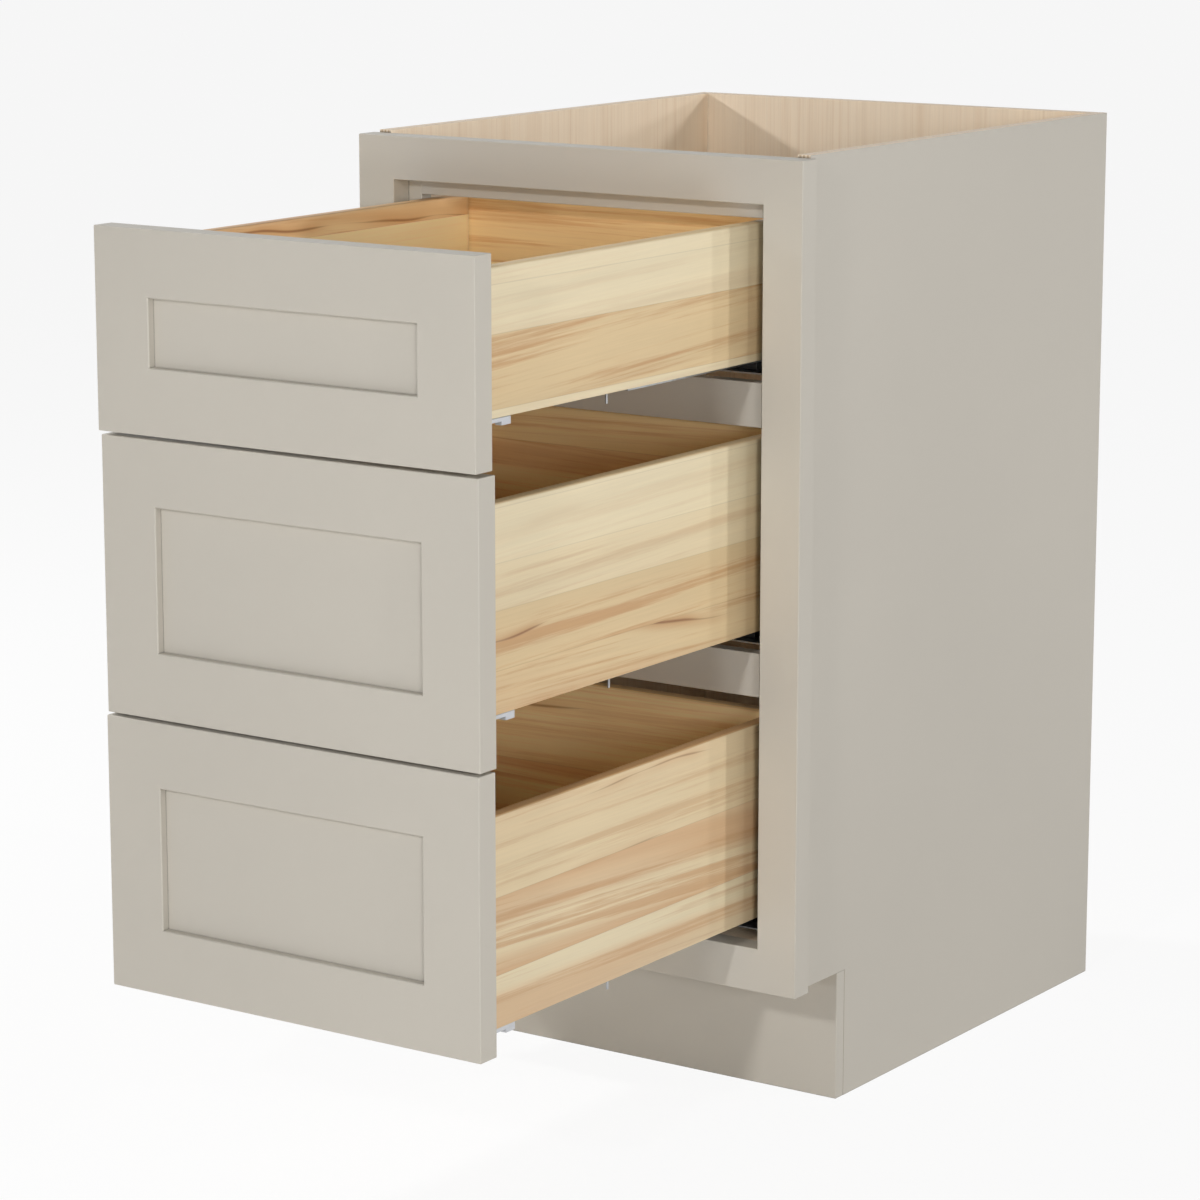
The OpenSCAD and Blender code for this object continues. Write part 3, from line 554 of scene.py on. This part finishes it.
def painted_plywood():
    """The side panels: painted outside, veneered inside, with raw edges."""
    material, nodes = new_material("Painted_side_plywood")
    inner_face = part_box("back_panel")[1].x
    outward = nodes.math("ABSOLUTE", nodes.parts(nodes.object_place())[0])
    facing = nodes.math("ABSOLUTE", nodes.parts(nodes.object_normal())[0])
    paint, roughness, grit = paint_look(nodes)
    veneer, fibres = veneer_look(nodes, "ZYX")
    inside = nodes.fade(outward, inner_face + 1 * MM, inner_face + 2 * MM)
    shade = nodes.mix(inside, paint, veneer)
    edge = raw_edge(nodes, nodes.math("SUBTRACT", outward, inner_face))
    # Painted shade darkens the raw edges where they meet other boards, to a dark seam line
    crease = nodes.place(crease_shade(), {"Reach": RAW_JOINT})[0]
    edge = nodes.tinted(edge, nodes.less(crease, 0.9))
    shade = nodes.mix(nodes.ramp(facing, 0.6, 0.95), edge, shade)
    coated = bpy.context.scene.vanity_wood.roughness
    blend = nodes.add("ShaderNodeMix", {0: inside, 2: roughness, 3: coated}).outputs[0]
    finish(nodes, shade, blend, grit, bpy.context.scene.vanity_paint.grit, specular=0.3)
    return material


def board_colour(nodes, board, heart, figure):
    """Colour of the boards, with heartwood, streaks, mineral lines and knots."""
    wood = bpy.context.scene.vanity_wood
    tan = nodes.ramp(board["Tone"], 0.25, 0.9)
    shade = nodes.mix(tan, tuple(wood.pale), tuple(wood.tan))
    core = nodes.ramp(nodes.noise(figure, HEARTWOOD), 0.36, 0.58)
    reddish = nodes.math("MULTIPLY", nodes.ramp(board["Redness"], 0.5, 0.8), 0.85)
    shade = nodes.mix(nodes.math("MULTIPLY", reddish, core), shade, tuple(wood.red))
    mature = nodes.math("MAXIMUM", tan, reddish)
    streaky = nodes.math("MULTIPLY_ADD", mature, 0.55, 0.15)
    shade = nodes.mix(nodes.math("MULTIPLY", heart["Streak"], streaky), shade, tuple(wood.streak))
    line = nodes.math("MULTIPLY", heart["Line"], nodes.ramp(mature, 0.1, 0.5))
    dark = nodes.math("MULTIPLY", nodes.math("MAXIMUM", line, heart["Knot"]), 0.75)
    return nodes.mix(dark, shade, tuple(wood.mineral))


def tinted_by_face(nodes, shade, through, axis):
    """Boards' colour with painted shade on upward faces and painted bounce light inside a drawer.
    """
    low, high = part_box("middle_box_sides")
    facing = nodes.parts(nodes.object_normal())
    # Painted shade: faces turned up are darkened and browned
    up = nodes.ramp(facing["Z"], 0.4, 0.9)
    shade = nodes.mix(up, shade, nodes.scaled(shade, UPWARD_SHADE_TINT))
    # Painted bounce light: faces turned into the drawer are brightened and warmed
    beyond = nodes.math("SIGN", nodes.math("SUBTRACT", through, (low[axis] + high[axis]) / 2))
    outward = nodes.math("MULTIPLY", beyond, facing[axis])
    return nodes.mix(nodes.fade(outward, -0.7, -0.5), shade, nodes.scaled(shade, INSIDE_BOUNCE_TINT))


def drawer_boards(name, order):
    """Solid boards glued edge to edge, with streaks, mineral lines and small knots."""
    material, nodes = new_material(name)
    wood = bpy.context.scene.vanity_wood
    along, across, through = nodes.parts(grained(nodes, order))
    panel = nodes.math("ROUND", nodes.math("MULTIPLY", through, PANEL_STEPS))
    count = nodes.math("DIVIDE", across, wood.board_width)
    count = nodes.math("MULTIPLY_ADD", panel, PANEL_SKIP, count)
    board = nodes.place(glued_boards(), {"Across": count})
    slope = nodes.math("MULTIPLY", nodes.math("SUBTRACT", board["Redness"], 0.5), BOARD_LEAN)
    lean = nodes.math("MULTIPLY_ADD", along, slope, across)
    shift = nodes.math("MULTIPLY", panel, PANEL_SHIFT)
    shift = nodes.math("MULTIPLY_ADD", board["Tone"], BOARD_SHIFT, shift)
    figure = nodes.joined(nodes.math("ADD", along, shift), nodes.math("ADD", lean, shift), through)
    fibres = nodes.place(wood_fibres(), {"Vector": figure})
    heart = nodes.place(heart_streaks(), {"Vector": figure})
    shade = board_colour(nodes, board, heart, figure)
    crease = nodes.place(crease_shade(), {"Reach": WOOD_JOINT})[0]
    tone = nodes.math("MULTIPLY", nodes.swing(fibres[0], 0.06), nodes.swing(fibres[1], 0.1))
    tone = nodes.math("MULTIPLY", tone, nodes.less(board["Seam"], 0.12))
    # Painted shade darkens the boards in the creases
    tone = nodes.math("MULTIPLY", tone, nodes.less(crease, 0.25))
    shade = tinted_by_face(nodes, nodes.tinted(shade, tone), through, "XYZ".index(order[2]))
    roughness = nodes.math("MULTIPLY", nodes.swing(fibres["Bands"], 0.2), wood.roughness)
    finish(nodes, shade, roughness, fibres["Fibres"], FIBRE_DEPTH, coat=0.1, specular=0.35)
    return material


def zinc_steel(name, shade, roughness):
    """Zinc-plated steel with faint spangle."""
    material, nodes = new_material(name)
    zinc = nodes.place(zinc_spangle(), {"Vector": nodes.object_place()})
    crease = nodes.place(crease_shade(), {"Reach": STEEL_JOINT})[0]
    tone = nodes.math("MULTIPLY", nodes.swing(zinc[0], 0.09), nodes.swing(zinc[1], 0.06))
    # Painted shade darkens the steel in the creases
    tone = nodes.math("MULTIPLY", tone, nodes.less(crease, 0.4))
    matt = nodes.math("MULTIPLY", nodes.swing(zinc["Patch"], 0.18), roughness)
    shade = nodes.tinted(tuple(shade), tone)
    finish(nodes, shade, matt, zinc["Rolled"], ROLLED_DEPTH, metallic=1.0)
    return material


def moulded_plastic(name, shade, roughness):
    """Fine-grained moulded plastic."""
    material, nodes = new_material(name)
    where = nodes.object_place()
    grit = nodes.place(fine_grit(), {"Vector": where, "Per metre": PLASTIC_GRIT})[0]
    flow = nodes.noise(where, PLASTIC_WANDER)
    arris = nodes.place(arris_highlight_and_wear(), {"Radius": PLASTIC_ARRIS})[0]
    crease = nodes.place(crease_shade(), {"Reach": PLASTIC_JOINT})[0]
    # Painted highlight and wear lighten the plastic on its arrises
    tone = nodes.math("MULTIPLY_ADD", arris, 0.15, nodes.swing(flow, 0.05))
    # Painted shade darkens the plastic in the creases
    tone = nodes.math("MULTIPLY", tone, nodes.less(crease, 0.3))
    matt = nodes.math("MULTIPLY", nodes.swing(grit, 0.12), roughness)
    finish(nodes, nodes.tinted(tuple(shade), tone), matt, grit, MOULDED_DEPTH)
    return material


def finish_named(name, make, *given):
    """The material of that name, made at its first use."""
    return bpy.data.materials.get(name) or make(*given)


def paint_finish():
    return finish_named("Greige_satin_paint", greige_paint)


def ply_finish(name, order):
    return finish_named(name, plywood, name, order)


def board_finish(name, order):
    return finish_named(name, drawer_boards, name, order)


def steel_finish():
    steel = bpy.context.scene.vanity_hardware.steel
    return finish_named("Zinc_sheet", zinc_steel, "Zinc_sheet", steel, 0.36)


def screw_finish():
    screw = bpy.context.scene.vanity_hardware.screw
    return finish_named("Zinc_screw", zinc_steel, "Zinc_screw", screw, 0.3)


def black_finish():
    black = bpy.context.scene.vanity_hardware.black
    return finish_named("Black_slide_plastic", moulded_plastic, "Black_slide_plastic", black, 0.45)


def grey_finish():
    grey = bpy.context.scene.vanity_hardware.grey
    return finish_named("Grey_clip_plastic", moulded_plastic, "Grey_clip_plastic", grey, 0.4)


# Edges


def middle(edge):
    return (edge.verts[0].co + edge.verts[1].co) / 2


def runs(edge, axis):
    """Whether an edge runs along an axis, 0 for X to 2 for Z."""
    reach = edge.verts[1].co - edge.verts[0].co
    return abs(reach[axis]) > PARALLEL * reach.length


def lies_at(edge, axis, value):
    """Whether both ends of an edge lie on a plane across an axis."""
    return all(abs(vertex.co[axis] - value) < NEAR for vertex in edge.verts)


def width_beside(face, edge):
    """Mean width of a face measured away from one of its edges."""
    return face.calc_area() / max(edge.calc_length(), WELD)


def is_fold(edge):
    """Whether an edge is the outside of a bend in sheet steel, not a cut edge."""
    wide = all(width_beside(face, edge) > CUT_EDGE for face in edge.link_faces)
    return runs(edge, 1) and edge.is_convex and wide


def round_edges(mesh, radius, segments, choose):
    """Rounds the arrises of a mesh that choose accepts."""
    arrises = [
        edge for edge in mesh.edges
        if len(edge.link_faces) == 2 and edge.calc_face_angle() > ARRIS and choose(edge)
    ]
    bmesh.ops.bevel(
        mesh, geom=arrises, offset=radius, offset_type="OFFSET", segments=segments,
        profile=0.5, affect="EDGES", clamp_overlap=True,
    )


def cad_mesh(node):
    """A CAD node's mesh with its flat faces made whole."""
    mesh = bmesh.new()
    mesh.from_mesh(frame["nodes"][node].data)
    bmesh.ops.remove_doubles(mesh, verts=mesh.verts, dist=WELD)
    bmesh.ops.dissolve_limit(
        mesh, angle_limit=FLAT, use_dissolve_boundaries=False,
        verts=mesh.verts, edges=mesh.edges, delimit={"NORMAL"},
    )
    return mesh


def cut_at(mesh, axis, values):
    """Splits the edges and faces of a mesh on planes across an axis."""
    normal = Vector([float(index == axis) for index in range(3)])
    for value in values:
        whole = [*mesh.verts, *mesh.edges, *mesh.faces]
        bmesh.ops.bisect_plane(mesh, geom=whole, plane_co=normal * value, plane_no=normal)


def piece_of(mesh, name, body, material, smooth_angle=None):
    """An object of the scene from a mesh, riding on a body."""
    bmesh.ops.remove_doubles(mesh, verts=mesh.verts, dist=WELD)
    bmesh.ops.recalc_face_normals(mesh, faces=mesh.faces)
    data = bpy.data.meshes.new(name)
    mesh.to_mesh(data)
    mesh.free()
    if smooth_angle is not None:
        data.shade_smooth()
        data.set_sharp_from_angle(angle=smooth_angle)
    data.materials.clear()
    data.materials.append(material)
    piece = bpy.data.objects.new(name, data)
    bpy.context.scene.collection.objects.link(piece)
    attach(piece, body)
    return piece


def stand_in(mesh, node, material, smooth_angle=None):
    """A piece that stands for one CAD node and is named after it."""
    name = node.capitalize() + "_eased"
    piece = piece_of(mesh, name, BODY_OF[node], material, smooth_angle)
    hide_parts(node)


def any_edge(edge):
    return True


def eased(node, slot, material, radius, segments=2, choose=any_edge):
    """A CAD node with its chosen arrises rounded."""
    mesh = cad_mesh(node)
    round_edges(mesh, radius, segments, choose)
    stand_in(mesh, node, material)


def islands(node):
    """Vertex positions of each separate solid in a CAD node."""
    mesh = cad_mesh(node)
    left = set(mesh.verts)
    solids = []
    while left:
        found = {left.pop()}
        front = list(found)
        while front:
            beside = {edge.other_vert(vertex) for vertex in front for edge in vertex.link_edges}
            front = list(beside - found)
            found |= beside
        left -= found
        solids.append([vertex.co.copy() for vertex in found])
    mesh.free()
    solids.sort(key=lambda points: tuple(round(value, 5) for value in min(points, key=tuple)))
    return solids


def lathe(mesh, outline, sides, place):
    """Adds a turned solid to a mesh; outline holds (radius, height) from one end to the other."""
    rings = []
    for radius, height in outline:
        count = sides if radius > 0 else 1
        turns = (2 * math.pi * index / sides for index in range(count))
        points = (Vector((radius * math.cos(t), radius * math.sin(t), height)) for t in turns)
        rings.append([mesh.verts.new(place @ point) for point in points])
    for lower, upper in zip(rings, rings[1:]):
        for index in range(sides):
            after = (index + 1) % sides
            corners = [lower[index % len(lower)], lower[after % len(lower)]]
            corners += [upper[after % len(upper)], upper[index % len(upper)]]
            corners = list(dict.fromkeys(corners))
            if len(corners) > 2:
                mesh.faces.new(corners)


def screw_template(head_radius, head_height, shank_radius, shank_length):
    """Mesh data of one pan-head screw with a cross recess, its head up and its seat at zero."""
    mesh = bmesh.new()
    tip = [
        (0, -shank_length), (0.9 * shank_radius, shank_radius - shank_length),
        (shank_radius, 1.5 * shank_radius - shank_length),
    ]
    head = [(head_radius * across, head_height * up) for across, up in PAN_HEAD]
    outline = [*tip, (shank_radius, 0), (head_radius, 0), *head, (0, head_height)]
    lathe(mesh, outline, SCREW_SIDES, Matrix.Identity(4))
    body = bpy.data.meshes.new("screw_body")
    bmesh.ops.recalc_face_normals(mesh, faces=mesh.faces)
    mesh.to_mesh(body)
    mesh.free()
    cross = bmesh.new()
    reach, width, depth = RECESS
    size = Matrix.Diagonal((head_radius * reach, head_radius * width, head_height * depth, 1))
    for turn in (0, math.pi / 2):
        arm = Matrix.Rotation(turn, 4, "Z") @ Matrix.Translation((0, 0, head_height))
        bmesh.ops.create_cube(cross, size=1, matrix=arm @ size)
    recess = bpy.data.meshes.new("screw_recess")
    cross.to_mesh(recess)
    cross.free()
    objects = [bpy.data.objects.new(data.name, data) for data in (body, recess)]
    for item in objects:
        bpy.context.scene.collection.objects.link(item)
    cut = objects[0].modifiers.new("recess", "BOOLEAN")
    cut.operation, cut.solver, cut.use_self, cut.object = "DIFFERENCE", "EXACT", True, objects[1]
    depsgraph = bpy.context.evaluated_depsgraph_get()
    made = bpy.data.meshes.new_from_object(objects[0].evaluated_get(depsgraph))
    for item in objects:
        bpy.data.objects.remove(item)
    return made


def screws(node):
    """Pan-head screws where a CAD node has its plain ones, all along Y."""
    solids = islands(node)
    mesh = bmesh.new()
    template = None
    for points in solids:
        low = Vector([min(point[axis] for point in points) for axis in range(3)])
        high = Vector([max(point[axis] for point in points) for axis in range(3)])
        centre = (low + high) / 2
        spread = {
            end: max(abs(point.x - centre.x) for point in points if abs(point.y - end) < NEAR)
            for end in (low.y, high.y)
        }
        head_end = max(spread, key=spread.get)
        tip_end = low.y if head_end == high.y else high.y
        outward = 1 if head_end > tip_end else -1
        radius = min(spread.values())
        seat = min(
            (point.y for point in points if abs(point.x - centre.x) > radius + NEAR),
            key=lambda y: abs(y - tip_end),
        )
        if template is None:
            template = screw_template(
                spread[head_end], abs(head_end - seat), radius, abs(seat - tip_end)
            )
        turn = Matrix.Rotation(-outward * math.pi / 2, 4, "X")
        turned = centre.x * SCREW_TURNS[0] + centre.z * SCREW_TURNS[1]
        spin = Matrix.Rotation(turned, 4, "Z")
        added = bmesh.new()
        added.from_mesh(template)
        added.transform(Matrix.Translation((centre.x, seat, centre.z)) @ turn @ spin)
        one = bpy.data.meshes.new("one_screw")
        added.to_mesh(one)
        added.free()
        mesh.from_mesh(one)
        bpy.data.meshes.remove(one)
    stand_in(mesh, node, screw_finish(), ARRIS)


# Pieces


class VANITY_OT_carcase(bpy.types.Operator):
    """Eases the side, back, floor and toe boards and gives them plywood and paint"""

    bl_idname = "vanity.carcase"
    bl_label = "Cabinet boards"

    def execute(self, context):
        radius = context.scene.vanity_edges.ply
        sides = finish_named("Painted_side_plywood", painted_plywood)
        for hand in ("left", "right"):
            eased("side_panel_" + hand, "greige_ply", sides, radius)
        eased("back_panel", "maple_ply", ply_finish("Back_plywood", "ZXY"), radius)
        eased("floor_panel", "maple_ply", ply_finish("Floor_plywood", "YXZ"), radius)
        eased("toe_kick_board", "greige_paint", paint_finish(), context.scene.vanity_edges.board)
        return {"FINISHED"}


class VANITY_OT_face_frame(bpy.types.Operator):
    """Eases the free arrises of the face frame, leaving its joints flush"""

    bl_idname = "vanity.face_frame"
    bl_label = "Face frame"

    def execute(self, context):
        radius = context.scene.vanity_edges.board
        opening = [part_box("frame_bottom_rail")[1].z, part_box("frame_top_rail")[0].z]
        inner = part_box("frame_top_rail")[1].x

        def free_stile_edge(edge):
            place = middle(edge)
            if abs(abs(place.x) - inner) > NEAR:
                return True
            return runs(edge, 2) and opening[0] < place.z < opening[1]

        for hand in ("left", "right"):
            node = "frame_stile_" + hand
            mesh = cad_mesh(node)
            cut_at(mesh, 2, opening)
            round_edges(mesh, radius, 3, free_stile_edge)
            stand_in(mesh, node, paint_finish())
        for node in ("frame_top_rail", "frame_bottom_rail"):
            eased(node, "greige_paint", paint_finish(), radius, 3, lambda edge: runs(edge, 0))
        for node in ("backing_top_rail", "upper_mid_rail", "lower_mid_rail"):
            eased(node, "greige_paint", paint_finish(), radius, 2, lambda edge: runs(edge, 0))
        upright = ("backing_strips", "greige_paint", paint_finish(), radius, 2)
        eased(*upright, lambda edge: runs(edge, 2))
        return {"FINISHED"}


class VANITY_OT_fronts(bpy.types.Operator):
    """Eases the outer arrises of the drawer fronts and paints them"""

    bl_idname = "vanity.fronts"
    bl_label = "Drawer fronts"

    def execute(self, context):
        radius = context.scene.vanity_edges.board
        for drawer in DRAWERS:
            low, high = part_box(drawer + "_front_stiles")

            def outer_edge(edge):
                faces = lies_at(edge, 1, low.y) or lies_at(edge, 1, high.y) or runs(edge, 1)
                ends = lies_at(edge, 2, low.z) or lies_at(edge, 2, high.z)
                sides = abs(abs(middle(edge).x) - high.x) < NEAR
                return faces and (sides or (ends and runs(edge, 0)))

            eased(drawer + "_front_stiles", "greige_paint", paint_finish(), radius, 3, outer_edge)
            eased(drawer + "_front_rails", "greige_paint", paint_finish(), radius, 3, outer_edge)
            eased(drawer + "_front_panel", "greige_paint", paint_finish(), radius / 2)
        return {"FINISHED"}


class VANITY_OT_boxes(bpy.types.Operator):
    """Rounds the drawer boxes' top edges, gives them solid boards and fills the nail holes"""

    bl_idname = "vanity.boxes"
    bl_label = "Drawer boxes"

    def execute(self, context):
        edges = context.scene.vanity_edges
        lengthwise = board_finish("Drawer_side_boards", "YZX")
        crosswise = board_finish("Drawer_end_boards", "XZY")
        bottoms = ply_finish("Drawer_bottom_plywood", "YXZ")
        for drawer in DRAWERS:
            for part, axis, material in (
                ("_box_sides", 1, lengthwise),
                ("_box_front", 0, crosswise),
                ("_box_back", 0, crosswise),
            ):
                low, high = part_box(drawer + part)
                mesh = cad_mesh(drawer + part)
                for radius, segments, level in ((edges.box_top, 4, high.z), (edges.box, 2, low.z)):
                    round_edges(
                        mesh, radius, segments,
                        lambda edge: runs(edge, axis) and lies_at(edge, 2, level),
                    )
                stand_in(mesh, drawer + part, material, ARRIS)
            eased(drawer + "_box_bottom", "drawer_wood", bottoms, edges.box / 2)
            self.nails(drawer, edges.nail)
        return {"FINISHED"}

    def nails(self, drawer, radius):
        """Filled nail heads where the sides are nailed to the front and back."""
        low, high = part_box(drawer + "_box_sides")
        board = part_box(drawer + "_box_front")
        front = (board[0].y + board[1].y) / 2
        outline = [
            (0, -NAIL_DEPTH), (radius, -NAIL_DEPTH), (radius, 0),
            (radius * 0.7, NAIL_CROWN * 0.8), (0, NAIL_CROWN),
        ]
        mesh = bmesh.new()
        for side in (-1, 1):
            outward = Matrix.Rotation(side * math.pi / 2, 4, "Y")
            for y in (front, low.y + high.y - front):
                for row in range(NAIL_ROWS):
                    z = low.z + (high.z - low.z) * (row + 0.6) / (NAIL_ROWS + 0.2)
                    place = Matrix.Translation((side * high.x, y, z)) @ outward
                    lathe(mesh, outline, NAIL_SIDES, place)
        filler = tuple(bpy.context.scene.vanity_hardware.filler)
        material = finish_named("Nail_filler", moulded_plastic, "Nail_filler", filler, 0.6)
        name = drawer.capitalize() + "_nail_fillings"
        piece_of(mesh, name, drawer + "_drawer", material, ARRIS)


class VANITY_OT_runners(bpy.types.Operator):
    """Rounds the folds in the runners' steel and eases the plastic blocks and brackets"""

    bl_idname = "vanity.runners"
    bl_label = "Runners"

    def execute(self, context):
        edges = context.scene.vanity_edges
        rails = ["fixed_rails"]
        for drawer in DRAWERS:
            rails += [drawer + "_sliding_rails", drawer + "_drawer_rails"]
            eased(drawer + "_nose_glides", "black_plastic", black_finish(), edges.plastic)
        for node in rails:
            mesh = cad_mesh(node)
            round_edges(mesh, edges.bend, 3, is_fold)
            stand_in(mesh, node, steel_finish(), ARRIS)
        eased("guide_blocks", "black_plastic", black_finish(), edges.plastic)
        eased("rear_brackets", "grey_plastic", grey_finish(), edges.plastic)
        return {"FINISHED"}


class VANITY_OT_clips(bpy.types.Operator):
    """Eases the locking clips and their release levers"""

    bl_idname = "vanity.clips"
    bl_label = "Clips and levers"

    def execute(self, context):
        radius = context.scene.vanity_edges.plastic
        for drawer in DRAWERS:
            for part in ("locking_clips", "lever_left", "lever_right"):
                mesh = cad_mesh(drawer + "_" + part)
                round_edges(mesh, radius, 2, lambda edge: edge.is_convex)
                stand_in(mesh, drawer + "_" + part, grey_finish(), ARRIS)
        return {"FINISHED"}


class VANITY_OT_screws(bpy.types.Operator):
    """Puts cross-head screws where the plain ones are"""

    bl_idname = "vanity.screws"
    bl_label = "Screws"

    def execute(self, context):
        screws("runner_screws")
        for drawer in DRAWERS:
            screws(drawer + "_front_screws")
        return {"FINISHED"}


def lamp(name, place, size, power):
    """A square lamp that faces the object."""
    light = bpy.data.lights.new(name, "AREA")
    light.shape, light.size, light.energy = "SQUARE", size, power
    holder = bpy.data.objects.new(name, light)
    bpy.context.scene.collection.objects.link(holder)
    holder.location = place
    holder.rotation_euler = (Vector(AIM) - Vector(place)).to_track_quat("-Z", "Y").to_euler()


def seen_directly(nodes):
    """1 for rays from the camera, off metal or through glass, else 0."""
    path = nodes.add("ShaderNodeLightPath").outputs
    mirrored = nodes.math("MAXIMUM", path["Is Glossy Ray"], path["Is Transmission Ray"])
    return nodes.math("MAXIMUM", path["Is Camera Ray"], mirrored)


class VANITY_OT_stage(bpy.types.Operator):
    """Sets up the camera, the lamps, the white surround and the floor"""

    bl_idname = "vanity.stage"
    bl_label = "Stage"

    def execute(self, context):
        stage = context.scene.vanity_stage
        self.camera(context.scene, stage)
        for name, (place, soft, power) in LAMPS.items():
            lamp(name, place, stage.soft_lamp if soft else stage.hard_lamp, power)
        self.surround(context.scene, stage)
        self.floor(stage)
        context.scene.view_settings.view_transform = "Standard"
        return {"FINISHED"}

    def camera(self, scene, stage):
        data = bpy.data.cameras.new("Camera")
        data.lens = stage.lens
        camera = bpy.data.objects.new("Camera", data)
        scene.collection.objects.link(camera)
        camera.location = stage.camera_place
        camera.rotation_euler = (math.pi / 2 - stage.camera_pitch, 0, stage.camera_turn)
        scene.camera = camera

    def surround(self, scene, stage):
        world = bpy.data.worlds.new("Surround")
        world.use_nodes = True
        nodes = Nodes(world.node_tree)
        background = world.node_tree.nodes["Background"]
        background.inputs["Color"].default_value = (1, 1, 1, 1)
        seen = seen_directly(nodes)
        strength = nodes.add("ShaderNodeMix", {0: seen, 2: stage.sky, 3: stage.backdrop})
        nodes.feed(background.inputs["Strength"], strength.outputs[0])
        scene.world = world

    def floor(self, stage):
        """A wide floor that looks nearly white and keeps the object's shadow."""
        mesh = bmesh.new()
        bmesh.ops.create_circle(mesh, cap_ends=True, segments=96, radius=30)
        data = bpy.data.meshes.new("Floor")
        mesh.to_mesh(data)
        mesh.free()
        material, nodes = new_material("Floor_white")
        shader = nodes.tree.nodes["Principled BSDF"]
        wander = nodes.noise(nodes.object_place(), FLOOR_WANDER)
        seen = seen_directly(nodes)
        shade = nodes.mix(seen, tuple(stage.floor), (1, 1, 1))
        nodes.feed(shader.inputs["Base Color"], nodes.tinted(shade, nodes.swing(wander, 0.01)))
        shader.inputs["Roughness"].default_value = 0.9
        shader.inputs["Specular IOR Level"].default_value = 0
        glow = nodes.add("ShaderNodeEmission", {"Color": (1, 1, 1), "Strength": stage.glow})
        share = nodes.math("MULTIPLY", seen, stage.glow_share)
        inputs = {0: share, 1: shader.outputs[0], 2: glow.outputs[0]}
        blend = nodes.add("ShaderNodeMixShader", inputs).outputs[0]
        nodes.feed(nodes.tree.nodes["Material Output"].inputs["Surface"], blend)
        data.materials.append(material)
        floor = bpy.data.objects.new("Floor", data)
        bpy.context.scene.collection.objects.link(floor)


class VANITY_PT_panel(bpy.types.Panel):
    """Settings and steps of the vanity drawer base"""

    bl_label = "Vanity drawer base"
    bl_space_type = "VIEW_3D"
    bl_region_type = "UI"
    bl_category = "Vanity"

    def draw(self, context):
        for field in SETTINGS:
            box = self.layout.box()
            group = getattr(context.scene, field)
            for name in group.__annotations__:
                box.prop(group, name)
        for step in STEPS:
            self.layout.operator(step.bl_idname)


SETTINGS = {
    "vanity_paint": PaintSettings,
    "vanity_wood": WoodSettings,
    "vanity_hardware": HardwareSettings,
    "vanity_edges": EdgeSettings,
    "vanity_stage": StageSettings,
}
STEPS = (
    VANITY_OT_carcase, VANITY_OT_face_frame, VANITY_OT_fronts, VANITY_OT_boxes,
    VANITY_OT_runners, VANITY_OT_clips, VANITY_OT_screws, VANITY_OT_stage,
)


def register():
    for item in (*SETTINGS.values(), *STEPS, VANITY_PT_panel):
        bpy.utils.register_class(item)
    for field, group in SETTINGS.items():
        setattr(bpy.types.Scene, field, PointerProperty(type=group))


def unregister():
    for field in SETTINGS:
        delattr(bpy.types.Scene, field)
    for item in reversed((*SETTINGS.values(), *STEPS, VANITY_PT_panel)):
        bpy.utils.unregister_class(item)


def main():
    register()
    bpy.ops.vanity.carcase()
    bpy.ops.vanity.face_frame()
    bpy.ops.vanity.fronts()
    bpy.ops.vanity.boxes()
    bpy.ops.vanity.runners()
    bpy.ops.vanity.clips()
    bpy.ops.vanity.screws()
    bpy.ops.vanity.stage()


if __name__ == "__main__":
    main()
